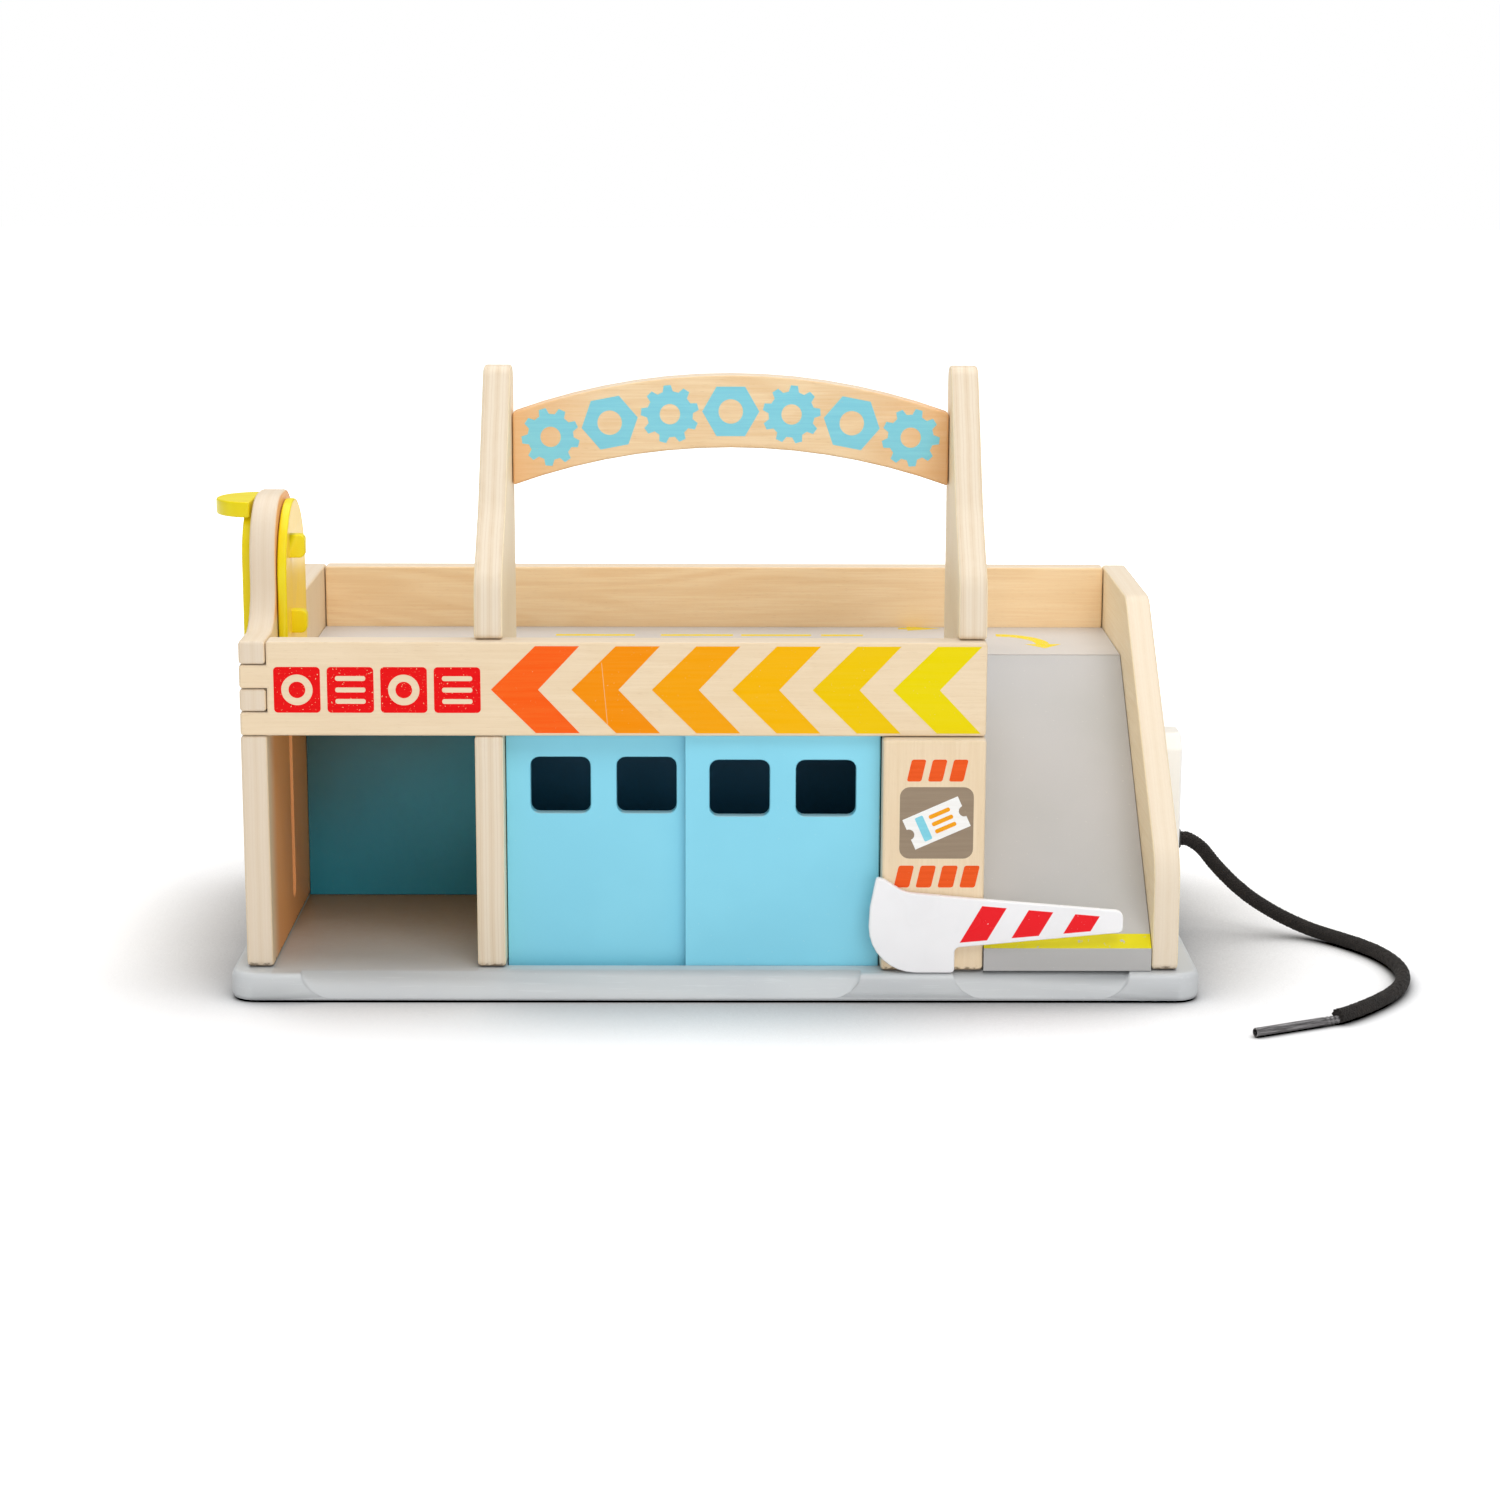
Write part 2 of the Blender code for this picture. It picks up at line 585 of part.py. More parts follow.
def make_barrier(arm_material, metal):
    """Barrier arm with a round hub, on a pin through the booth. Its origin is on the pin's axis."""
    hub = [(BARRIER_HUB_RADIUS * math.cos(t), BARRIER_HUB_RADIUS * math.sin(t), 0)
           for t in [math.pi * (1 + k / 16) for k in range(8, -1, -1)]]
    horn_x = BARRIER_HORN_INSET - BARRIER_HUB_RADIUS
    arm = [(-0.98 * BARRIER_HUB_RADIUS, 0.42 * BARRIER_HUB_RADIUS, 0.010),
           (horn_x, BARRIER_HORN_HEIGHT, 0.0012),
           (horn_x + BARRIER_HORN_WIDTH, 0.95 * BARRIER_HORN_HEIGHT, 0.003),
           (-BARRIER_HUB_RADIUS / 4, BARRIER_SHOULDER, 0.012),
           (1.75 * BARRIER_HEEL, BARRIER_ROOT_TOP, 0.020),
           (BARRIER_REACH, BARRIER_TIP_TOP, 0.003), (BARRIER_REACH, -BARRIER_TIP_BOTTOM, 0.002),
           (BARRIER_HEEL, -BARRIER_ROOT_BOTTOM, 0.002), (BARRIER_HEEL, -BARRIER_HUB_RADIUS, 0.0015)]
    barrier = slab("barrier_arm", rounded(hub + arm), "Y", 0, BARRIER_THICKNESS, arm_material, 0.0007)
    barrier.location = (pivot_x, barrier_front, pivot_z)
    socket = turned("barrier_socket_cutter", [
        (0, 0), (BARRIER_PIN_RADIUS + SEAT_GAP, 0),
        (BARRIER_PIN_RADIUS + SEAT_GAP, BARRIER_SOCKET_DEPTH + OVERCUT), (0, BARRIER_SOCKET_DEPTH + OVERCUT)],
        (pivot_x, barrier_back - BARRIER_SOCKET_DEPTH, pivot_z), (0, 1, 0))
    cut(barrier, socket)
    pin_start = barrier_back - BARRIER_SOCKET_DEPTH + SEAT_GAP
    washer_start = booth_back + RUNNING_GAP
    shank = washer_start + BARRIER_WASHER_THICKNESS + RUNNING_GAP - pin_start
    turned("barrier_pin", [
        (0, 0), (BARRIER_PIN_RADIUS, 0), (BARRIER_PIN_RADIUS, shank), (BARRIER_HEAD_RADIUS, shank),
        (BARRIER_HEAD_RADIUS, shank + 0.0008), (0.0028, shank + 0.0020), (0, shank + 0.0024)],
        (pivot_x, pin_start, pivot_z), (0, 1, 0), metal)
    washer = turned("barrier_washer", [
        (0, 0), (BARRIER_WASHER_RADIUS, 0), (BARRIER_WASHER_RADIUS, BARRIER_WASHER_THICKNESS),
        (0, BARRIER_WASHER_THICKNESS)], (pivot_x, washer_start, pivot_z), (0, 1, 0), metal)
    bore = turned("washer_bore_cutter", [
        (0, 0), (BARRIER_PIN_RADIUS + SEAT_GAP, 0),
        (BARRIER_PIN_RADIUS + SEAT_GAP, BARRIER_WASHER_THICKNESS + 2 * OVERCUT),
        (0, BARRIER_WASHER_THICKNESS + 2 * OVERCUT)], (pivot_x, washer_start - OVERCUT, pivot_z), (0, 1, 0))
    cut(washer, bore)


def lift_screw_levels():
    middle = (neck_low + neck_high) / 2
    return (middle - LIFT_SCREW_SPACING / 2, middle + LIFT_SCREW_SPACING / 2)


def lift_screw_cutters(name):
    """Holes for the screws that hold the outer plate to the neck."""
    radius = SCREW_SHANK_RADIUS + SEAT_GAP
    start = plate_outer - OVERCUT
    reach = OUTER_PLATE_THICKNESS + OVERCUT + WALL_THICKNESS * 0.7
    return [turned(f"{name}_{k}", [(0, 0), (radius, 0), (radius, reach), (0, reach)],
                   (start, LIFT_CENTRE_Y, level), (1, 0, 0), sides=SCREW_SIDES)
            for k, level in enumerate(lift_screw_levels())]


def make_lift_carriage(material):
    """Platform, shield with two tabs, and the neck that passes the wall's slot."""
    half = SHIELD_WIDTH / 2
    foot = deck_top - PLATFORM_THICKNESS
    shield_foot = foot + PLATFORM_THICKNESS / 4
    shield = slab("lift_carriage", rounded([
        (LIFT_CENTRE_Y - half, shield_foot, 0), (LIFT_CENTRE_Y + half, shield_foot, 0),
        (LIFT_CENTRE_Y + half, SHIELD_TOP, half), (LIFT_CENTRE_Y - half, SHIELD_TOP, half)]),
        "X", shield_outer, shield_inner, material, SHIELD_EDGE)
    merge = SHIELD_THICKNESS / 2
    depth = PLATFORM_DEPTH / 2
    root = shield_outer + merge / 4
    platform = slab("lift_platform_form", rounded([
        (root, LIFT_CENTRE_Y - depth, 0.002), (platform_right, LIFT_CENTRE_Y - depth, 0.003),
        (platform_right, LIFT_CENTRE_Y + depth, 0.003), (root, LIFT_CENTRE_Y + depth, 0.002)]),
        "Z", foot, deck_top, edge=0.0007, edge_steps=1)
    for index in range(2):
        level = SHIELD_TOP - TAB_DROP - index * TAB_SPACING
        tip = shield_inner + TAB_PROUD
        tab = slab(f"tab_form_{index}", rounded([
            (shield_inner - merge, level - TAB_HEIGHT / 2, 0), (tip, level - TAB_HEIGHT / 2, TAB_RADIUS),
            (tip, level + TAB_HEIGHT / 2, TAB_RADIUS), (shield_inner - merge, level + TAB_HEIGHT / 2, 0)]),
            "Y", LIFT_CENTRE_Y - half + TAB_SETBACK, LIFT_CENTRE_Y - half + TAB_SETBACK + TAB_LENGTH, edge=0.0006)
        add(shield, tab)
    neck = slab("lift_neck_form", rectangle(
        LIFT_CENTRE_Y - NECK_WIDTH / 2, LIFT_CENTRE_Y + NECK_WIDTH / 2, neck_low, neck_high, NECK_WIDTH / 2),
        "X", plate_inner + SEAT_GAP, shield_outer + merge * 0.8)
    add(shield, neck)
    add(shield, platform)
    for tool in lift_screw_cutters("neck_screw_cutter"):
        cut(shield, tool)


def make_lift_plate(material):
    """Outer plate with a half-round finger ledge at its top."""
    half = OUTER_PLATE_WIDTH / 2
    low = OUTER_PLATE_TOP - OUTER_PLATE_HEIGHT
    plate = slab("lift_outer_plate", rounded([
        (LIFT_CENTRE_Y - half, low, OUTER_PLATE_FOOT_RADIUS),
        (LIFT_CENTRE_Y + half, low, OUTER_PLATE_FOOT_RADIUS),
        (LIFT_CENTRE_Y + half, OUTER_PLATE_TOP, OUTER_PLATE_HEAD_RADIUS),
        (LIFT_CENTRE_Y - half, OUTER_PLATE_TOP, OUTER_PLATE_HEAD_RADIUS)]),
        "X", plate_outer, plate_inner, material, SHIELD_EDGE)
    ledge_root = plate_inner - OUTER_PLATE_THICKNESS / 4
    ledge_tip = plate_outer - LEDGE_REACH
    ledge_low = OUTER_PLATE_TOP - LEDGE_THICKNESS / 2
    spread = math.acos(1 - (ledge_root - ledge_tip) / LEDGE_RADIUS)
    steps = 18
    angles = [spread * (2 * k / steps - 1) for k in range(steps + 1)]
    half_disc = [(ledge_tip + LEDGE_RADIUS * (1 - math.cos(t)), LIFT_CENTRE_Y - LEDGE_RADIUS * math.sin(t))
                 for t in angles]
    ledge = slab("lift_ledge_form", half_disc, "Z", ledge_low, ledge_low + LEDGE_THICKNESS, edge=LEDGE_EDGE)
    add(plate, ledge)
    for tool in lift_screw_cutters("plate_screw_cutter"):
        cut(plate, tool)


def screw_profile(length, bare_neck=0.0):
    """Pan-head screw, from the top of its head to its tip."""
    head = SCREW_HEAD_HEIGHT
    return [(0, 0), (SCREW_HEAD_RADIUS * 0.6, 0), (SCREW_HEAD_RADIUS, head * 0.6), (SCREW_HEAD_RADIUS, head),
            (SCREW_SHANK_RADIUS, head + bare_neck), (SCREW_SHANK_RADIUS, head + length - 0.002),
            (0, head + length)]


def make_lift_screws(material):
    bite = OUTER_PLATE_THICKNESS + WALL_THICKNESS * 0.6
    start = plate_outer - SEAT_GAP - SCREW_HEAD_HEIGHT
    for side, level in zip(("lower", "upper"), lift_screw_levels()):
        turned(f"lift_screw_{side}", screw_profile(bite), (start, LIFT_CENTRE_Y, level), (1, 0, 0),
               material, SCREW_SIDES)


def base_screw_places():
    """Each base screw's place, and the board that it enters."""
    wall_left = (left_x + left_inner) / 2
    wall_right = (right_x + right_inner) / 2
    inset = 0.030
    return [(wall_left, front_y + inset, "left_wall"), (wall_left, rear_y - inset, "left_wall"),
            (wall_right, front_y + inset, "right_wall"), (wall_right, rear_y - inset, "right_wall"),
            (left_post_x + POST_THICKNESS / 2, front_y + inset, "left_post_board"),
            (right_post_x + POST_THICKNESS / 2, front_y + inset, "right_post_board")]


def make_base_screws(material):
    """Screws from below, whose heads sit in pockets in the base's underside."""
    pocket = SCREW_HEAD_HEIGHT + SEAT_GAP + 0.0008
    hole = SCREW_SHANK_RADIUS + SEAT_GAP
    wide = SCREW_HEAD_RADIUS + SEAT_GAP
    top = board_foot + SCREW_BITE
    head_top = pocket - SCREW_HEAD_HEIGHT - SEAT_GAP
    for number, (x, y, board) in enumerate(base_screw_places(), 1):
        tool = turned(f"base_screw_cutter_{number}", [
            (0, -OVERCUT), (wide, -OVERCUT), (wide, pocket), (hole, pocket), (hole, top), (0, top)],
            (x, y, 0), (0, 0, 1), sides=SCREW_SIDES)
        cut(bpy.data.objects["base_board"], tool)
        cut(bpy.data.objects[board], tool)
        length = top - SEAT_GAP - head_top - SCREW_HEAD_HEIGHT
        turned(f"base_screw_{number}", screw_profile(length), (x, y, head_top), (0, 0, 1),
               material, SCREW_SIDES)


def make_pump(body_material, dark_material):
    low = PUMP_TOP - PUMP_HEIGHT
    half = PUMP_WIDTH / 2
    inner = right_x + SEAT_GAP
    outer = inner + PUMP_THICKNESS
    shoulder = PUMP_TOP - PUMP_CHAMFER
    outline = [(PUMP_CENTRE_Y - half, low), (PUMP_CENTRE_Y + half, low), (PUMP_CENTRE_Y + half, shoulder),
               (PUMP_CENTRE_Y + half - PUMP_CHAMFER, PUMP_TOP),
               (PUMP_CENTRE_Y - half + PUMP_CHAMFER, PUMP_TOP), (PUMP_CENTRE_Y - half, shoulder)]
    slab("pump_body", outline, "X", inner, outer, body_material, 0.0010)
    turned("pump_grommet", [
        (0, 0), (GROMMET_RADIUS, 0), (GROMMET_RADIUS, GROMMET_LENGTH * 0.6),
        (GROMMET_RADIUS * 0.85, GROMMET_LENGTH), (0, GROMMET_LENGTH)],
        (outer + SEAT_GAP, PUMP_CENTRE_Y, HOSE_LEVEL), (1, 0, 0), dark_material)


def hose_route():
    """Points that the hose passes: out of the pump, down to the table and round to the front."""
    floor = HOSE_DIAMETER / 2 + 0.0001
    return [Vector(point) for point in (
        (hose_exit_x + HOSE_STRAIGHT, PUMP_CENTRE_Y, HOSE_LEVEL),
        (0.2115, -0.0003, 0.0362), (0.2210, -0.0015, 0.0255), (0.2320, -0.0030, 0.0155),
        (0.2440, -0.0060, 0.0078), (0.2560, -0.0120, 0.0042), (0.2660, -0.0220, floor),
        (0.2740, -0.0380, floor), (0.2795, -0.0560, floor), (0.2815, -0.0740, floor),
        (0.2800, -0.0900, floor), (0.2740, -0.1060, floor), (0.2640, -0.1190, floor),
        (0.2520, -0.1290, floor), (0.2440, -0.1340, floor))]


def smooth_points(before, route, step):
    """Evenly spaced points on a smooth curve through the route, which arrives from the point before it."""
    fine = []
    padded = [before] + route + [2 * route[-1] - route[-2]]
    for a, b, c, d in zip(padded, padded[1:], padded[2:], padded[3:]):
        for k in range(20):
            t = k / 20
            fine.append(0.5 * (2 * b + (c - a) * t + (2 * a - 5 * b + 4 * c - d) * t ** 2
                               + (3 * b - a - 3 * c + d) * t ** 3))
    fine.append(route[-1])
    lengths = [0.0]
    for here, there in zip(fine, fine[1:]):
        lengths.append(lengths[-1] + (there - here).length)
    count = max(2, round(lengths[-1] / step))
    points = []
    for k in range(count + 1):
        target = lengths[-1] * k / count
        index = min(next(i for i, value in enumerate(lengths) if value >= target - 1e-9), len(fine) - 1)
        points.append(fine[index])
    return points


def make_hose(material):
    exit_point = Vector((hose_exit_x, PUMP_CENTRE_Y, HOSE_LEVEL))
    points = [exit_point] + smooth_points(exit_point, hose_route(), HOSE_STEP)
    curve = bpy.data.curves.new("pump_hose", "CURVE")
    curve.dimensions = "3D"
    curve.bevel_depth = HOSE_DIAMETER / 2
    curve.bevel_resolution = 2
    curve.use_fill_caps = True
    spline = curve.splines.new("POLY")
    spline.points.add(len(points) - 1)
    for point, place in zip(spline.points, points):
        point.co = (*place, 1)
    curve.materials.append(material)
    hose = bpy.data.objects.new("pump_hose", curve)
    bpy.context.scene.collection.objects.link(hose)
    return points


def make_nozzle(hose_points, material):
    """Metal tube on the hose's end, which lies on the table with its bore open."""
    end = hose_points[-1]
    heading = end - hose_points[-2]
    heading.z = 0
    heading.normalize()
    start = end + heading * SEAT_GAP
    radius = NOZZLE_DIAMETER / 2
    start.z = radius + 0.0001
    bore_start = NOZZLE_LENGTH - NOZZLE_BORE_DEPTH
    turned("hose_nozzle", [
        (0, 0), (radius, 0), (radius, NOZZLE_LENGTH), (NOZZLE_BORE_RADIUS, NOZZLE_LENGTH),
        (NOZZLE_BORE_RADIUS, bore_start), (0, bore_start)], start, heading, material, sides=12)


def main():
    clear_scene()
    wood = make_material("pale_wood", linear(233, 214, 180), 0.55)
    grey_paint = make_material("grey_paint", linear(198, 201, 203), 0.45)
    blue_paint = make_material("blue_paint", linear(134, 210, 232), 0.35)
    yellow_plastic = make_material("yellow_plastic", linear(240, 225, 20), 0.2)
    white_plastic = make_material("white_plastic", linear(246, 246, 248), 0.25)
    braided_cord = make_material("braided_cord", linear(45, 42, 40), 0.8)
    steel = make_material("steel", linear(150, 150, 152), 0.3, 1.0)
    make_base(grey_paint)
    make_left_wall(wood)
    make_right_wall(wood)
    make_rear_wall(wood)
    make_back_wall(blue_paint)
    make_fascia(wood)
    make_deck(grey_paint)
    make_post("left_post_board", left_post_x, front_y, wood)
    make_post("right_post_board", right_post_x, booth_back + SEAT_GAP, wood)
    make_sign_arch(wood)
    make_booth(wood)
    make_ramp(grey_paint)
    make_doors(blue_paint)
    make_barrier(white_plastic, steel)
    make_lift_carriage(yellow_plastic)
    make_lift_plate(yellow_plastic)
    make_lift_screws(steel)
    make_base_screws(steel)
    make_pump(white_plastic, braided_cord)
    make_nozzle(make_hose(braided_cord), steel)


main()
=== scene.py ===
# Looks of the wooden toy parking garage: painted and bare plywood, printed motifs, a braided hose.
import math

import bmesh
import bpy
from mathutils import Matrix, Vector


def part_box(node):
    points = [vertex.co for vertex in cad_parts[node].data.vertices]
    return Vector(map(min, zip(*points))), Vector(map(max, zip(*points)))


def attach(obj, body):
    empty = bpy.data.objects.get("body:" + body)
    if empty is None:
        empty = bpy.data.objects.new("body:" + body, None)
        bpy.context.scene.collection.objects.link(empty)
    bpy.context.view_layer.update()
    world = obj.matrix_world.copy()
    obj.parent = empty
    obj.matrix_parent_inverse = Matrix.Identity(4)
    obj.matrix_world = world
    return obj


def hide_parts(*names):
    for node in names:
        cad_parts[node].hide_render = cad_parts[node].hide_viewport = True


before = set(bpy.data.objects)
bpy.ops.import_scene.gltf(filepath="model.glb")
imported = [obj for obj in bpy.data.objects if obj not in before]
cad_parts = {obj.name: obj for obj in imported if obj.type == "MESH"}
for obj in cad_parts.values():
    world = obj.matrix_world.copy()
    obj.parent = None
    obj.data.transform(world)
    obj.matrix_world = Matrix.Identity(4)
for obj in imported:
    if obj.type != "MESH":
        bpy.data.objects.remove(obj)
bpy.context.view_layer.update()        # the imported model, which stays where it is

mm = 0.001


def linear(red, green, blue):
    # a colour given as 0 to 255 screen values, as the shader's linear values
    shades = [value / 255 for value in (red, green, blue)]
    return tuple(s / 12.92 if s <= 0.04045 else ((s + 0.055) / 1.055) ** 2.4 for s in shades) + (1.0,)


def circle(centre, radius, sides=48, turn=0.0):
    return [(centre[0] + radius * math.cos(turn + 2 * math.pi * k / sides),
             centre[1] + radius * math.sin(turn + 2 * math.pi * k / sides)) for k in range(sides)]


def addObject(name, data):
    thing = bpy.data.objects.new(name, data)
    bpy.context.scene.collection.objects.link(thing)
    return thing


def plainMesh(thing):
    # the mesh that an object's modifiers make; the object itself goes
    bpy.context.view_layer.update()
    graph = bpy.context.evaluated_depsgraph_get()
    mesh = bpy.data.meshes.new_from_object(thing.evaluated_get(graph), preserve_all_data_layers=True,
                                           depsgraph=graph)
    bpy.data.objects.remove(thing, do_unlink=True)
    return mesh


# Camera

photoCamera = {
    "lens": 77.295,
    "sensor": 36.0,
    "place": (3.46 * mm, -1350.83 * mm, 369.28 * mm),
    "down": math.radians(12.06),
    "turn": math.radians(0.46),
    "roll": math.radians(0.18),
}


def makeCamera(spec):
    data = bpy.data.cameras.new("photoCamera")
    data.lens = spec["lens"]
    data.sensor_width = spec["sensor"]
    down, turn, roll = spec["down"], spec["turn"], spec["roll"]
    forward = Vector((math.sin(turn) * math.cos(down), math.cos(turn) * math.cos(down), -math.sin(down)))
    level = forward.cross(Vector((0, 0, 1))).normalized()
    upright = level.cross(forward)
    right = level * math.cos(roll) + upright * math.sin(roll)
    up = upright * math.cos(roll) - level * math.sin(roll)
    camera = addObject("photoCamera", data)
    camera.matrix_world = Matrix((right, up, -forward)).transposed().to_4x4()
    camera.location = spec["place"]
    bpy.context.scene.camera = camera


makeCamera(photoCamera)
print("camera placed")


# Node trees written as expressions

class Signal:  # one output of a node; arithmetic on it adds the Math nodes
    def __init__(self, tree, socket):
        self.tree = tree
        self.socket = socket

    def calc(self, operation, *values):
        return self.tree.node("ShaderNodeMath", {"operation": operation}, dict(enumerate(values)))

    def __add__(self, other):
        return self.calc("ADD", self, other)

    def __sub__(self, other):
        return self.calc("SUBTRACT", self, other)

    def __mul__(self, other):
        return self.calc("MULTIPLY", self, other)

    def __truediv__(self, other):
        return self.calc("DIVIDE", self, other)

    def __rsub__(self, other):
        return self.calc("SUBTRACT", other, self)

    def __rtruediv__(self, other):
        return self.calc("DIVIDE", other, self)

    __radd__ = __add__
    __rmul__ = __mul__

    def sine(self):
        return self.calc("SINE", self)

    def cosine(self):
        return self.calc("COSINE", self)

    def size(self):
        return self.calc("ABSOLUTE", self)

    def rest(self):
        return self.calc("FRACT", self)

    def above(self, edge, soft):  # 0 below edge - soft, 1 above edge + soft
        return self.tree.node("ShaderNodeMapRange", {"interpolation_type": "SMOOTHSTEP"},
                              {"Value": self, "From Min": edge - soft, "From Max": edge + soft})

    def below(self, edge, soft):
        return 1 - self.above(edge, soft)


class NodeTree:  # a material's or a Geometry Nodes group's tree
    def __init__(self, tree):
        self.tree = tree

    def node(self, kind, settings=None, sockets=None, out=0):
        made = self.tree.nodes.new(kind)
        for key, value in (settings or {}).items():
            if key == "stops":
                self.setStops(made.color_ramp, value)
            else:
                setattr(made, key, value)
        for key, value in (sockets or {}).items():
            self.feed(made.inputs[key], value)
        return Signal(self, made.outputs[out]) if made.outputs else made

    def feed(self, socket, value):
        for each in value if isinstance(value, list) else [value]:
            if isinstance(each, Signal):
                self.tree.links.new(each.socket, socket)
            else:
                socket.default_value = each

    def setStops(self, ramp, stops):
        while len(ramp.elements) < len(stops):
            ramp.elements.new(0.5)
        for element, (position, colour) in zip(ramp.elements, stops):
            element.position = position
            element.color = colour

    def mix(self, share, first, second):  # colours
        return self.node("ShaderNodeMix", {"data_type": "RGBA"}, {0: share, 6: first, 7: second}, out=2)

    def vector(self, x, y, z):
        return self.node("ShaderNodeCombineXYZ", {}, {0: x, 1: y, 2: z})

    def scaled(self, vector, factor):
        return self.node("ShaderNodeVectorMath", {"operation": "SCALE"}, {0: vector, "Scale": factor})

    def noise(self, place, scale, detail=2.0, roughness=0.5):
        return self.node("ShaderNodeTexNoise", {"noise_dimensions": "3D"},
                         {"Vector": place, "Scale": scale, "Detail": detail, "Roughness": roughness})


class Finish(NodeTree):  # a material with one Principled shader
    def __init__(self, name, **values):
        self.material = bpy.data.materials.new(name)
        self.material.use_nodes = True
        super().__init__(self.material.node_tree)
        self.shader = self.tree.nodes["Principled BSDF"]
        for label, value in values.items():
            self.shader.inputs[label.replace("_", " ")].default_value = value

    def place(self):  # millimetres in the object's own frame
        return self.scaled(self.node("ShaderNodeTexCoord", out="Object"), 1000.0)

    def parts(self, place):
        return [self.node("ShaderNodeSeparateXYZ", {}, {0: place}, out=axis) for axis in range(3)]

    def between(self, share, light, deep):  # a colour between two tones given as screen values
        return self.mix(share, linear(*light), linear(*deep))

    def tint(self, share, colour, tone):  # a colour drawn towards a tone
        return self.mix(share, colour, linear(*tone))

    def set(self, label, value):
        self.feed(self.shader.inputs[label], value)

    def coat(self, colour):  # the material with this colour
        self.set("Base Color", colour)
        return self.material

    def bump(self, height, distance, strength=1.0):
        self.set("Normal", self.node("ShaderNodeBump", {}, {
            "Height": height, "Distance": distance, "Strength": strength}))


# Finishes

woodTones = {
    # light and dark early wood, the figure's lines, pores, and how strong the figure is
    "pale": ((239, 217, 184), (233, 209, 173), (226, 198, 158), (196, 162, 118), 0.22),
    "cream": ((254, 238, 206), (249, 230, 194), (240, 217, 176), (206, 174, 130), 0.20),
    "warm": ((255, 226, 182), (249, 214, 165), (234, 190, 134), (194, 144, 92), 0.32),
    "honey": ((247, 219, 177), (238, 204, 155), (226, 182, 127), (190, 142, 92), 0.32),
}
woodGrain = {
    "fibreAlong": 0.03,  # how often the fibres change, per mm, along and across the grain
    "fibreAcross": 0.9,
    "figureAlong": 0.007,
    "figureAcross": 0.042,
    "figureLines": 50.0,
    "poreAlong": 0.25,
    "poreAcross": 4.0,
    "edgeTone": (225, 210, 190),
    "plyTone": (210, 182, 142),
    "glueTone": (188, 152, 108),
    "footDarkTone": (92, 66, 36),
    "paintedBounceTone": (245, 164, 84),
    "paintedEndShadeTone": (231, 170, 104),
    "plies": 5,
    "skin": 0.45,  # depth at which a board's edge starts to show its plies
    "footDarkHeight": 3.6,  # how far up from a board's foot its wood turns darker brown
}
paintedLightPlaces = {  # where warm bounce light and shade are painted on the left wall and the arch, in mm
    "frontFade": 12.0,  # how far behind the wall's front edge the bay's painted shade has half its tone
    "bayTop": 107.0,
    "towerFoot": 149.0,
    "towerBack": -6.0,
    "archShare": 0.40,  # of the arch's length, from its middle
    "archFade": 30.0,
}


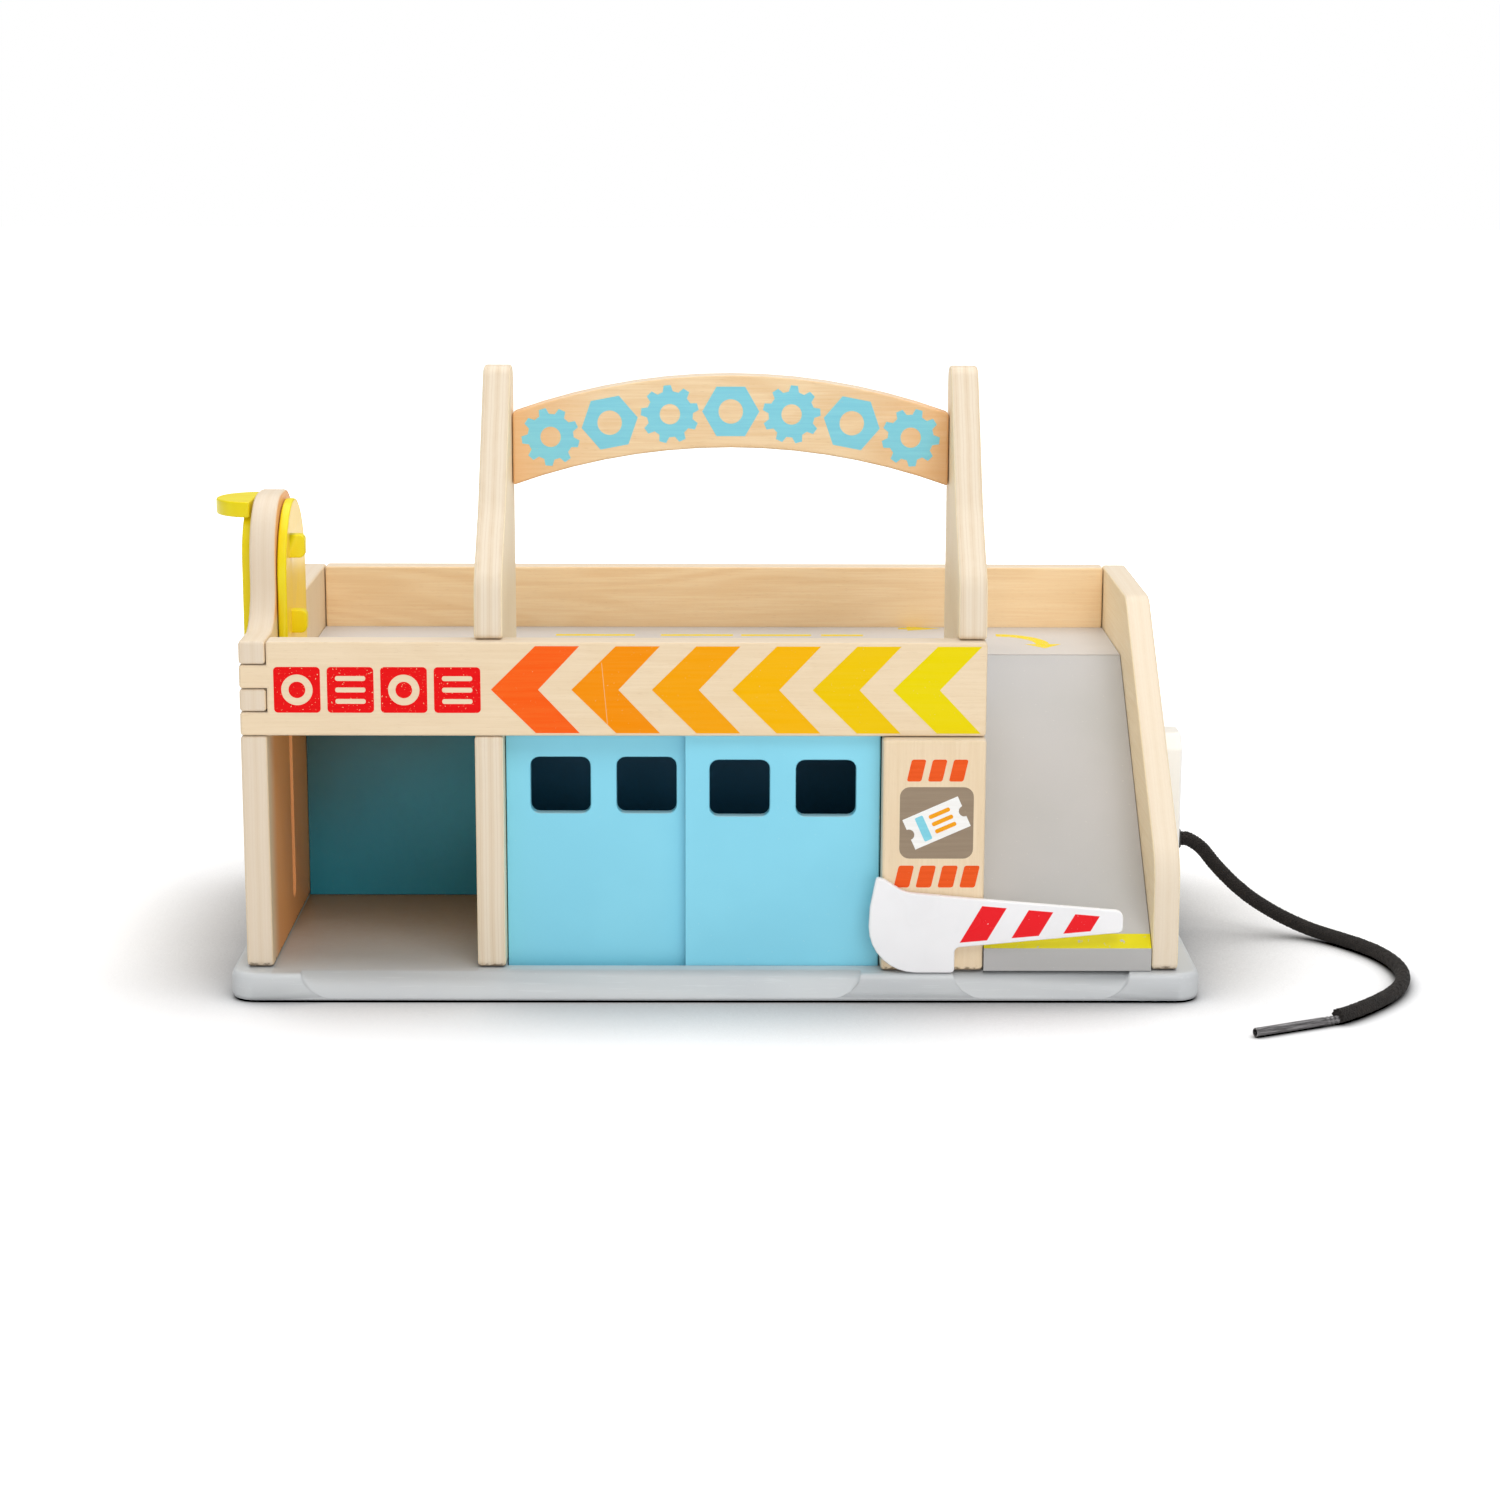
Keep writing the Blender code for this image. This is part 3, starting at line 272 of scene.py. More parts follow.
def woodFinish(name, node, tone, grain, across, plies=1.0, footed=False, amber=""):
    # clear-lacquered plywood: veneer figure on the faces, and on the edges plies, as strong as told;
    # amber names where painted warm light and shade go: "bay" for the bay's inner face and the tower
    # behind the lift, "ends" for the arch's ends
    light, dark, figureTone, poreTone, figureShare = woodTones[tone]
    spec, places = woodGrain, paintedLightPlaces
    low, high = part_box(node)
    start = low[across] / mm
    front = low[1] / mm
    span = (high[across] - low[across]) / mm
    finish = Finish(name)
    spots = finish.parts(finish.place())
    along, thick, side = spots[grain], spots[across], spots[3 - grain - across]

    def grainNoise(alongScale, acrossScale, detail, roughness=0.5):
        stretched = finish.vector(along * alongScale, side * acrossScale, thick * acrossScale)
        return finish.noise(stretched, 1.0, detail, roughness)

    fibre = grainNoise(spec["fibreAlong"], spec["fibreAcross"], 4.0, 0.65)
    cloud = grainNoise(0.004, 0.03, 2.0)
    rings = grainNoise(spec["figureAlong"], spec["figureAcross"], 1.0)
    figure = (rings * spec["figureLines"] + fibre * 2.5).sine().above(0.1, 0.9) * figureShare
    pores = grainNoise(spec["poreAlong"], spec["poreAcross"], 1.0).above(0.70, 0.04)
    edge = (thick - (start + span / 2)).size().below(span / 2 - spec["skin"], 0.15)
    colour = finish.between(fibre.above(0.5, 0.25), light, dark)
    colour = finish.tint(figure * cloud.above(0.48, 0.14) * (1 - edge), colour, figureTone)
    colour = finish.tint(pores * 0.22, colour, poreTone)

    wander = grainNoise(0.02, 0.08, 2.0) * 0.5
    layer = (thick - start) * (spec["plies"] / span) + wander
    crossPly = ((layer / 2).rest() - 0.5).size().below(0.25, 0.08)
    glueLine = (layer.rest() - 0.5).size().above(0.45, 0.05)
    patchy = (grainNoise(0.012, 0.2, 2.0) + 0.3) * plies
    colour = finish.tint(edge * 0.78, colour, spec["edgeTone"])
    colour = finish.tint(crossPly * edge * patchy * 0.40, colour, spec["plyTone"])
    colour = finish.tint(glueLine * edge * patchy * 0.30, colour, spec["glueTone"])
    depth, height = spots[1], spots[2]
    if amber == "bay":  # painted shade and warm bounce light inside the bay, and a painted reflection of the yellow lift on the tower behind it
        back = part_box("bay_back_wall")[0][1] / mm
        fade = places["frontFade"]
        # painted shade and warm bounce light: the bay's inner face turns amber, deeper away from its
        # front edge
        bayShade = (thick - start).above(0.6, 0.2) * height.below(places["bayTop"], 0.5)
        bayShade = bayShade * depth.above(front + fade, fade) * depth.below(back, 0.5)
        colour = finish.tint(bayShade * 0.85, colour, spec["paintedBounceTone"])
        # painted reflection: the tower's inner face turns orange beside the yellow lift shield
        towerReflection = (thick - start).above(span - 0.25, 0.15) * height.above(places["towerFoot"], 3.0)
        towerReflection = towerReflection * depth.below(places["towerBack"], 1.0)
        colour = finish.tint(towerReflection * 0.7, colour, spec["paintedBounceTone"])
    if amber == "ends":
        # painted shade: the arch turns darker and warmer towards its ends, where the posts shade it
        middle = (low[grain] + high[grain]) / 2 / mm
        reach = (high[grain] - low[grain]) / mm * places["archShare"]
        ends = (along - middle).size().above(reach, places["archFade"])
        colour = finish.tint(ends * 0.7, colour, spec["paintedEndShadeTone"])
    if footed:
        # darker brown towards a board's foot, where it meets the base
        smear = finish.noise(finish.vector(spots[0] * 0.5, depth * 0.5, height * 0.9), 1.0, 3.0)
        footDark = (height + smear * 5).below(low[2] / mm + spec["footDarkHeight"], 0.7)
        colour = finish.tint(footDark * 0.75, colour, spec["footDarkTone"])
    finish.set("Roughness", fibre * 0.16 + 0.46)
    finish.bump(fibre * 0.5 - pores * 0.5 - glueLine * edge * 0.2, 0.00006, 0.6)
    return finish.coat(colour)


paints = {
    # two near tones, the tone of dust and scuffs, and the roughness
    "baseGrey": ((208, 211, 212), (203, 206, 208), (226, 228, 228), 0.42),
    "deckGrey": ((205, 201, 197), (199, 195, 191), (222, 218, 210), 0.45),
    "doorBlue": ((136, 218, 240), (131, 213, 236), (180, 228, 242), 0.36),
    "rampGrey": ((187, 185, 184), (182, 181, 179), (208, 205, 200), 0.45),
    "bayBlue": ((18, 146, 172), (14, 138, 164), (66, 128, 128), 0.42),
}


def paintFinish(name, paint, specks=0.5):
    # sprayed paint on board: a cloudy coat with fine orange peel and a few specks
    tone, deeper, dustAndShade, roughness = paints[paint]
    finish = Finish(name)
    place = finish.place()
    cloud = finish.noise(place, 0.018, 3.0)
    peel = finish.noise(place, 1.1, 2.0)
    grit = finish.noise(place, 0.7, 2.0, 0.7)
    colour = finish.between(cloud.above(0.5, 0.2), tone, deeper)
    colour = finish.tint(grit.above(0.72, 0.03) * specks, colour, dustAndShade)
    finish.set("Roughness", cloud * 0.12 + roughness - 0.06)
    finish.bump(peel * 0.6 + grit.above(0.72, 0.03) * 0.5, 0.00005, 0.6)
    return finish, place, colour


def doorFinish():
    # a ragged paler lip of paint runs along the windows' lower edges
    windows = {"level": 85.4, "height": 23.0, "lip": 0.8, "tone": (205, 234, 240)}
    finish, place, colour = paintFinish("doorBlue", "doorBlue", 0.25)
    height = finish.parts(place)[2]
    ragged = finish.noise(place, 0.8, 3.0) * 1.6
    foot = windows["level"] - windows["height"] / 2 + 0.4
    lip = (height + ragged - foot).size().below(windows["lip"], 0.3)
    normal = finish.node("ShaderNodeNewGeometry", out="Normal")
    inner = finish.parts(normal)[1].size().below(0.8, 0.1)
    return finish.coat(finish.tint(lip * inner * 0.55, colour, windows["tone"]))


bayFloor = {
    "right": -95.6,  # the partition's left face
    "back": 17.0,  # the blue wall's front
    "level": 11.5,
    "bayShadeMiddle": -28.0,  # where the painted shade is half as deep as at the back
    "bayShadeFade": 70.0,
    "bayShadeTone": (172, 126, 66),
    "crumbTone": (205, 190, 160),
    "slopeFront": -101.5,  # the routed slopes lie in front of this
    "strokeTone": (228, 231, 232),
}


def baseFinish(spec):
    # the routed driveway slopes are a little scuffed, and painted shade with warm bounce light browns the
    # bay's floor towards its back
    finish, place, colour = paintFinish("baseGrey", "baseGrey", 0.3)
    x, y, z = finish.parts(place)
    strokes = finish.noise(finish.vector(x * 0.05, y * 0.6, z * 0.9), 1.0, 3.0, 0.7).above(0.62, 0.05)
    strokes = strokes * y.below(spec["slopeFront"], 0.6) * 0.22
    colour = finish.tint(strokes, colour, spec["strokeTone"])
    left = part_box("left_wall")[1][0] / mm
    inBay = x.above(left, 0.2) * x.below(spec["right"], 0.2)
    inBay = inBay * y.below(spec["back"], 1.0) * z.above(spec["level"], 0.3)
    # painted shade and warm bounce light: the bay's floor turns darker and browner towards its back
    bayShadeDepth = finish.noise(place, 0.25, 3.0, 0.7) * 24 + y
    dustAndShade = bayShadeDepth.above(spec["bayShadeMiddle"], spec["bayShadeFade"]) * 0.8 + 0.1
    colour = finish.tint(dustAndShade * inBay, colour, spec["bayShadeTone"])
    crumbs = finish.noise(place, 0.5, 3.0, 0.7).above(0.56, 0.04) * y.above(spec["back"] - 1.8, 0.5)
    return finish.coat(finish.tint(crumbs * inBay * 0.7, colour, spec["crumbTone"]))


bayWall = {
    "doorSide": -91.0,  # from here on the wall is behind the doors, where its shade is painted
    "doorShadeTone": (8, 92, 132),
    "bayRight": -96.0,
    "paintedShadeMiddle": 120.0,  # along a slope that rises to the bay's upper left
    "paintedShadeFade": 34.0,
    "paintedShadeTone": (52, 66, 45),
}


def bayFinish(spec):
    # the back wall's paint, with painted shade behind the doors and towards the bay's upper left
    finish, place, colour = paintFinish("bayBlue", "bayBlue", 0.3)
    x, z = finish.parts(place)[::2]
    # painted shade: the wall behind the doors is darker
    colour = finish.tint(x.above(spec["doorSide"], 1.0) * 0.9, colour, spec["doorShadeTone"])
    # painted shade: the wall turns darker and greener towards the bay's upper left
    slope = z * 0.7 - x * 0.4 + finish.noise(place, 0.03, 2.0) * 20
    cornerShade = slope.above(spec["paintedShadeMiddle"], spec["paintedShadeFade"]) * x.below(spec["bayRight"], 0.5)
    return finish.coat(finish.tint(cornerShade * 0.88, colour, spec["paintedShadeTone"]))


def deckFinish(name, paint):
    # the ramp carries a yellow line painted across its foot
    line = {"low": 21.6, "high": 26.1, "back": -60.0, "tone": (222, 210, 4)}
    finish, place, colour = paintFinish(name, paint)
    finish.shader.inputs["Specular IOR Level"].default_value = 0.2
    y, z = finish.parts(place)[1:]
    worn = finish.noise(place, 0.45, 3.0, 0.6).below(0.68, 0.04)
    band = z.above(line["low"], 0.15) * z.below(line["high"], 0.15) * worn * y.below(line["back"], 2.0)
    return finish.coat(finish.tint(band, colour, line["tone"]))


def barrierFinish():
    # red bars printed across the arm's front
    bars = {"start": 101.6, "pitch": 19.6, "share": 0.53, "lean": 0.575, "level": 32.0, "count": 3,
            "topAt": (106.2, 40.1), "topSlope": 0.0885, "footAt": (97.6, 24.9), "footSlope": 0.092,
            "face": -107.2, "tone": (240, 22, 33)}
    finish = Finish("barrierWhite", Specular_IOR_Level=0.16)
    place = finish.place()
    x, y, z = finish.parts(place)
    along = (x - (z - bars["level"]) * bars["lean"] - bars["start"]) / bars["pitch"]
    bar = (along.rest() - bars["share"] / 2).size().below(bars["share"] / 2, 0.008)
    row = along.above(-0.05, 0.01) * along.below(bars["count"] - 0.05, 0.01)
    top = (z + (x - bars["topAt"][0]) * bars["topSlope"]).below(bars["topAt"][1], 0.12)
    foot = (z - (x - bars["footAt"][0]) * bars["footSlope"]).above(bars["footAt"][1], 0.12)
    worn = finish.noise(place, 0.9, 3.0, 0.7).below(0.72, 0.02)
    red = bar * row * top * foot * worn * y.below(bars["face"], 0.1)
    cloud = finish.noise(place, 0.05, 2.0)
    white = finish.between(cloud.above(0.5, 0.2), (246, 245, 246), (241, 240, 241))
    finish.set("Roughness", cloud * 0.1 + 0.22)
    finish.bump(finish.noise(place, 0.6, 2.0), 0.00003, 0.5)
    return finish.coat(finish.tint(red, white, bars["tone"]))


def plasticFinish(name, light, deep, roughness=0.34, face=None):
    # moulded plastic with faint flow marks; face is a flat X level tinted with a painted reflection of
    # the warm wood around it
    finish = Finish(name, IOR=1.46, Specular_IOR_Level=0.3)
    place = finish.place()
    x, y, z = finish.parts(place)
    flow = finish.noise(finish.vector(x * 0.05, y * 0.12, z * 0.02), 1.0, 2.0)
    colour = finish.between(flow.above(0.5, 0.2), light, deep)
    if face:
        level, low, tone = face
        # painted reflection: the shield's inner face takes a warmer tone
        panel = (x - level).size().below(0.12, 0.04) * z.above(low, 0.2)
        colour = finish.tint(panel, colour, tone)
    finish.set("Roughness", flow * 0.12 + roughness - 0.06)
    finish.bump(finish.noise(place, 0.8, 2.0), 0.00003, 0.4)
    return finish.coat(colour)


def metalFinish(name, light, deep, grain, roughness=0.34):
    # drawn or plated metal, streaked along one axis
    finish = Finish(name, Metallic=1.0)
    spots = finish.parts(finish.place())
    stretched = [spot * (0.1 if axis == grain else 3.0) for axis, spot in enumerate(spots)]
    streak = finish.noise(finish.vector(*stretched), 1.0, 3.0, 0.6)
    blotch = finish.noise(finish.vector(*spots), 0.3, 2.0)
    finish.set("Roughness", blotch * 0.3 + roughness - 0.15)
    finish.bump(streak, 0.00002, 0.5)
    return finish.coat(finish.between(streak.above(0.5, 0.2), light, deep))


def inkFinish(name, tone, deeper, wornTone=(238, 205, 160), wear=0.70, ramp=None, scratch=None):
    # screen-print ink, a little worn through to the wood; ramp colours a row by its step
    finish = Finish(name, Specular_IOR_Level=0.03)
    place = finish.place()
    x, y, z = finish.parts(place)
    fibre = finish.noise(finish.vector(x * 0.03, y * 0.9, z * 0.9), 1.0, 4.0, 0.65)
    colour = finish.between(fibre.above(0.5, 0.25), tone, deeper)
    if ramp:
        step = finish.node("ShaderNodeAttribute", {"attribute_name": "step"}, {}, out="Fac")
        row = finish.node("ShaderNodeValToRGB", {"stops": ramp}, {0: step})
        colour = finish.tint(fibre.above(0.5, 0.25) * 0.06, row, (250, 225, 120))
    specks = finish.noise(place, 1.3, 2.0, 0.7).above(wear, 0.015)
    if scratch:
        startX, startZ, lean, low = scratch
        line = (x - startX - (z - startZ) * lean).size().below(0.13, 0.05)
        specks = specks + line * z.above(low, 0.3) * z.below(startZ, 0.3) * 0.6
    finish.set("Roughness", fibre * 0.1 + 0.45)
    finish.bump(fibre, 0.00004, 0.5)
    return finish.coat(finish.tint(specks, colour, wornTone))


def rubberFinish():
    finish = Finish("grommetRubber")
    grain = finish.noise(finish.place(), 2.0, 2.0)
    finish.set("Roughness", grain * 0.2 + 0.55)
    finish.bump(grain, 0.00003)
    return finish.coat(finish.between(grain.above(0.5, 0.2), (38, 36, 35), (52, 49, 47)))


# The hose and its nozzle

hose = {
    "exit": (200.5, 0.0, 42.0),  # where it leaves the pump, in mm
    "straight": 2.5,  # how far it runs straight out of the grommet
    "route": [(209.3, -0.2, 38.0), (215.4, -0.8, 30.8), (223.0, -1.8, 23.0), (232.2, -2.9, 15.6),
              (243.6, -5.0, 9.0), (255.0, -10.0, 4.6), (264.5, -19.0, 3.25), (272.5, -31.0, 3.25),
              (278.8, -44.5, 3.25), (282.3, -60.0, 3.25), (282.4, -76.0, 3.25), (278.6, -92.0, 3.25),
              (271.0, -107.0, 3.25), (260.0, -121.5, 3.25), (250.5, -131.5, 3.25), (244.5, -136.5, 3.25)],
    "diameter": 6.3,
    "strands": 10,  # each way round
    "strandRadius": 0.5,
    "strandSides": 6,
    "coreSides": 20,
    "twist": 15.0,  # mm along the hose for one turn of a strand
    "weave": 0.14,  # how far a strand rises and dips as it crosses others
    "step": 0.9,
}


def smoothRoute(before, route, step):
    # even points on a smooth curve through the route, which arrives from the point before it
    padded = [before] + route + [2 * route[-1] - route[-2]]
    fine = []
    for a, b, c, d in zip(padded, padded[1:], padded[2:], padded[3:]):
        for k in range(40):
            t = k / 40
            fine.append(0.5 * (2 * b + (c - a) * t + (2 * a - 5 * b + 4 * c - d) * t ** 2
                               + (3 * b - a - 3 * c + d) * t ** 3))
    fine.append(route[-1])
    points = [fine[0]]
    travelled = 0.0
    for here, there in zip(fine, fine[1:]):
        travelled += (there - here).length
        if travelled >= step:
            points.append(there)
            travelled = 0.0
    if (points[-1] - route[-1]).length > step / 3:
        points.append(route[-1])
    return points


def hosePoints(spec):
    start = Vector(spec["exit"]) * mm
    after = start + Vector((spec["straight"] * mm, 0, 0))
    bend = [after] + [Vector(point) * mm for point in spec["route"]]
    lead = [start.lerp(after, k / 5) for k in range(5)]
    return lead + smoothRoute(start, bend, spec["step"] * mm)


def polyCurve(name, points):
    curve = bpy.data.curves.new(name, "CURVE")
    curve.dimensions = "3D"
    spline = curve.splines.new("POLY")
    spline.points.add(len(points) - 1)
    for point, place in zip(spline.points, points):
        point.co = (*place, 1)
    return addObject(name, curve)


class Growth(NodeTree):  # a Geometry Nodes group with named inputs
    kinds = {"number": "NodeSocketFloat", "count": "NodeSocketInt", "finish": "NodeSocketMaterial"}

    def __init__(self, name, **inputs):
        group = bpy.data.node_groups.new(name, "GeometryNodeTree")
        super().__init__(group)
        group.interface.new_socket("Geometry", in_out="INPUT", socket_type="NodeSocketGeometry")
        group.interface.new_socket("Geometry", in_out="OUTPUT", socket_type="NodeSocketGeometry")
        for label, kind in inputs.items():
            group.interface.new_socket(label, in_out="INPUT", socket_type=self.kinds[kind])
        self.source = group.nodes.new("NodeGroupInput")
        self.result = group.nodes.new("NodeGroupOutput")

    def given(self, label):
        return Signal(self, self.source.outputs[label])

    def grow(self, shape, finish):  # every tree ends in real faces with their finish
        real = self.node("GeometryNodeRealizeInstances", {}, {0: shape})
        dressed = self.node("GeometryNodeSetMaterial", {}, {"Geometry": real, "Material": finish})
        self.tree.links.new(dressed.socket, self.result.inputs[0])

    def bake(self, thing, name, **values):  # one plain mesh, with no modifier left on it
        modifier = thing.modifiers.new(name, "NODES")
        modifier.node_group = self.tree
        for item in self.tree.interface.items_tree:
            if item.item_type == "SOCKET" and item.in_out == "INPUT" and item.name in values:
                modifier[item.identifier] = values[item.name]
        thing.update_tag()
        mesh = plainMesh(thing)
        mesh.name = name
        return addObject(name, mesh)


def cordFinish():
    finish = Finish("braidedCord", Roughness=0.85, Specular_IOR_Level=0.3, Sheen_Weight=0.06,
                    Sheen_Roughness=0.5)
    place = finish.place()
    fibre = finish.noise(place, 4.0, 3.0, 0.7)
    dustAndShade = finish.noise(place, 0.25, 2.0)
    shade = finish.between(fibre.above(0.52, 0.2), (18, 16, 15), (48, 43, 40))
    finish.bump(fibre, 0.0002, 0.6)
    return finish.coat(finish.tint(dustAndShade.above(0.62, 0.12) * 0.3, shade, (62, 54, 49)))


def braidGrowth():
    # two sets of strands wind opposite ways round a core and cross over and under each other
    grow = Growth("braidedHose", Strands="count", Radius="number", Strand="number", Twist="number",
                  Weave="number", Finish="finish")
    route, count, radius, strand, twist, weave = [grow.given(label) for label in (
        "Geometry", "Strands", "Radius", "Strand", "Twist", "Weave")]

    def tube(path, sides, thickness):
        ring = grow.node("GeometryNodeCurvePrimitiveCircle", {},
                         {"Resolution": sides, "Radius": thickness})
        return grow.node("GeometryNodeCurveToMesh", {},
                         {"Curve": path, "Profile Curve": ring, "Fill Caps": True})

    turns = grow.node("GeometryNodeSplineParameter", out="Length") / twist
    normal = grow.node("GeometryNodeInputNormal")
    tangent = grow.node("GeometryNodeInputTangent")
    side = grow.node("ShaderNodeVectorMath", {"operation": "CROSS_PRODUCT"}, {0: tangent, 1: normal})
    ways = []
    for way, shift in ((1, 0.0), (-1, 1.0)):  # the second set starts half a strand further round
        copies = grow.node("GeometryNodeDuplicateElements", {"domain": "SPLINE"},
                           {"Geometry": route, "Amount": count})
        number = Signal(grow, copies.socket.node.outputs["Duplicate Index"])
        stepped = grow.node("GeometryNodeCaptureAttribute", {"domain": "CURVE"}, {"Geometry": copies})
        stepped.socket.node.capture_items.new("INT", "number")
        grow.tree.links.new(number.socket, stepped.socket.node.inputs["number"])
        number = Signal(grow, stepped.socket.node.outputs["number"])
        angle = ((number + shift / 2) / count + turns * way) * (2 * math.pi)
        crossing = (turns * 2 * count + number + shift) * math.pi
        reach = radius - strand - weave + crossing.sine() * weave
        offset = grow.node("ShaderNodeVectorMath", {"operation": "ADD"}, {
            0: grow.scaled(normal, angle.cosine() * reach), 1: grow.scaled(side, angle.sine() * reach)})
        ways.append(grow.node("GeometryNodeSetPosition", {}, {"Geometry": stepped, "Offset": offset}))
    woven = tube(grow.node("GeometryNodeJoinGeometry", {}, {0: ways}), hose["strandSides"], strand)
    core = tube(route, hose["coreSides"], radius - strand * 1.5)
    both = grow.node("GeometryNodeJoinGeometry", {}, {0: [core, woven]})
    smooth = grow.node("GeometryNodeSetShadeSmooth", {}, {"Geometry": both})
    grow.grow(smooth, grow.given("Finish"))
    return grow


def makeHose(spec):
    points = hosePoints(spec)
    piece = braidGrowth().bake(
        polyCurve("hoseRoute", points), "braidedHose", Strands=spec["strands"],
        Radius=spec["diameter"] / 2 * mm, Strand=spec["strandRadius"] * mm, Twist=spec["twist"] * mm,
        Weave=spec["weave"] * mm, Finish=cordFinish())
    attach(piece, "garage")
    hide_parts("pump_hose")
    length = sum((b - a).length for a, b in zip(points, points[1:]))
    return piece, points, length


hosePiece, hosePath, hoseLength = makeHose(hose)
print(f"hose laid, {hoseLength:.3f} m long")


# Boards and small parts, dressed from the frame's own shapes

def dress(node, name, body, finish, sharp=50):
    # a copy of the node with its flat faces whole and its rounds shaded smooth
    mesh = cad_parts[node].data.copy()
    soft = bmesh.new()
    soft.from_mesh(mesh)
    bmesh.ops.remove_doubles(soft, verts=soft.verts, dist=0.00001)
    bmesh.ops.dissolve_limit(soft, angle_limit=math.radians(0.4), verts=soft.verts, edges=soft.edges)
    soft.to_mesh(mesh)
    soft.free()
    mesh.materials.clear()
    mesh.materials.append(finish)
    mesh.shade_smooth()
    mesh.set_sharp_from_angle(angle=math.radians(sharp))
    draft = addObject(name + "Draft", mesh)
    even = draft.modifiers.new("evenShading", "WEIGHTED_NORMAL")
    even.keep_sharp = True
    piece = addObject(name, plainMesh(draft))
    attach(piece, body)
    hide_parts(node)


woodBoards = {
    # node: piece, tone, axis of the grain, axis across the board, plies, stands on the base, amber: where
    # warm light and shade are painted
    "left_wall": ("leftWallBoard", "pale", 2, 0, 0.4, True, "bay"),
    "right_wall": ("rightWallBoard", "cream", 1, 0, 0.3, True, ""),
    "rear_wall": ("rearWallBoard", "warm", 0, 1, 0.4, True, ""),
    "front_fascia": ("fasciaBoard", "pale", 0, 1, 0.4, False, ""),
    "left_post_board": ("leftPostBoard", "cream", 2, 0, 0.9, True, ""),
    "right_post_board": ("rightPostBoard", "cream", 2, 0, 0.9, True, ""),
    "sign_arch": ("signArchBoard", "honey", 0, 1, 0.5, False, "ends"),
    "booth_panel": ("boothBoard", "pale", 2, 1, 0.4, True, ""),
}


def dressBoards():
    for node, (name, *look) in woodBoards.items():
        dress(node, name, "garage", woodFinish(name + "Wood", node, *look))
    dress("base_board", "baseBoard", "garage", baseFinish(bayFloor))
    dress("deck_board", "deckBoard", "garage", deckFinish("deckGrey", "deckGrey"))
    dress("ramp_board", "rampBoard", "garage", deckFinish("rampGrey", "rampGrey"))
    dress("bay_back_wall", "bayBackBoard", "garage", bayFinish(bayWall))
    doorBlue = doorFinish()
    dress("left_door", "leftDoorPanel", "left_sliding_door", doorBlue)
    dress("right_door", "rightDoorPanel", "right_sliding_door", doorBlue)


def dressFittings():
    yellow = ((243, 226, 20), (238, 216, 12))
    face = (-173.8, 119.0, (252, 218, 74))  # the shield's inner face, with a painted reflection of the warm wood around it
    dress("lift_carriage", "liftCarriage", "lift",
          plasticFinish("liftYellow", *yellow, face=face), 60)
    dress("lift_outer_plate", "liftPlate", "lift",
          plasticFinish("plateYellow", *yellow), 60)
    dress("barrier_arm", "barrierArm", "barrier", barrierFinish(), 60)
    dress("pump_body", "pumpBody", "garage",
          plasticFinish("pumpWhite", (252, 250, 246), (249, 247, 242)))
    dress("pump_grommet", "pumpGrommet", "garage", rubberFinish())
    steel = metalFinish("zincSteel", (176, 176, 178), (150, 150, 154), 2)
    for node, name in (("barrier_pin", "barrierPin"), ("barrier_washer", "barrierWasher")):
        dress(node, name, "barrier", steel)
    for node, name in (("lift_screw_lower", "liftScrewLower"), ("lift_screw_upper", "liftScrewUpper")):
        dress(node, name, "lift", steel)
    for number in range(1, 7):
        dress(f"base_screw_{number}", f"baseScrew{number}", "garage", steel)


dressBoards()
print("boards dressed")
dressFittings()
print("fittings dressed")


# The nozzle: a thin rolled tube crimped on the hose

nozzle = {
    "radius": 1.8,
    "length": 40.0,
    "bore": 1.35,
    "boreDepth": 12.0,
    "lip": 0.25,
    "crimps": 3,  # shallow rings where it grips the hose
    "crimpFirst": 2.0,
    "crimpPitch": 2.2,
    "crimpShares": (0.97, 0.86),  # of the radius, at a ring's edges and on its floor
    "sides": 48,
    "tones": ((84, 82, 83), (150, 148, 149)),
}


def nozzleProfile(spec):
    # (radius, distance) from the hose's end to the open end and down the bore
    radius, length = spec["radius"], spec["length"]
    rim, waist = [radius * share for share in spec["crimpShares"]]
    points = [(0, 0), (waist, 0), (radius * 0.94, 0.4)]
    for k in range(spec["crimps"]):
        at = spec["crimpFirst"] + k * spec["crimpPitch"]
        points += [(rim, at - 0.8), (waist, at - 0.3), (waist, at + 0.3), (rim, at + 0.8)]
    lip, bore, bottom = spec["lip"], spec["bore"], length - spec["boreDepth"]
    points += [(radius * 0.985, 9.5), (radius, length * 0.5), (radius * 0.985, length - 2.0),
               (radius, length - lip), (radius - lip, length), (bore, length - 0.1), (bore, bottom),
               (0, bottom)]
    return points


def lathe(name, profile, start, heading, sides):
    side = heading.orthogonal().normalized()
    other = heading.cross(side)
    made = bmesh.new()
    rings = []
    for radius, distance in profile:
        middle = start + heading * (distance * mm)
        if radius == 0:
            rings.append([made.verts.new(middle)])
            continue
        ways = [side * a + other * b for a, b in circle((0, 0), 1, sides)]
        rings.append([made.verts.new(middle + way * (radius * mm)) for way in ways])
    for ring, following in zip(rings, rings[1:]):
        for k in range(sides):
            nxt = (k + 1) % sides
            corners = [ring[k % len(ring)], ring[nxt % len(ring)], following[nxt % len(following)],
                       following[k % len(following)]]
            made.faces.new(list(dict.fromkeys(corners)))
    bmesh.ops.recalc_face_normals(made, faces=made.faces)
    mesh = bpy.data.meshes.new(name)
    made.to_mesh(mesh)
    made.free()
    mesh.shade_smooth()
    mesh.set_sharp_from_angle(angle=math.radians(40))
    return addObject(name, mesh)


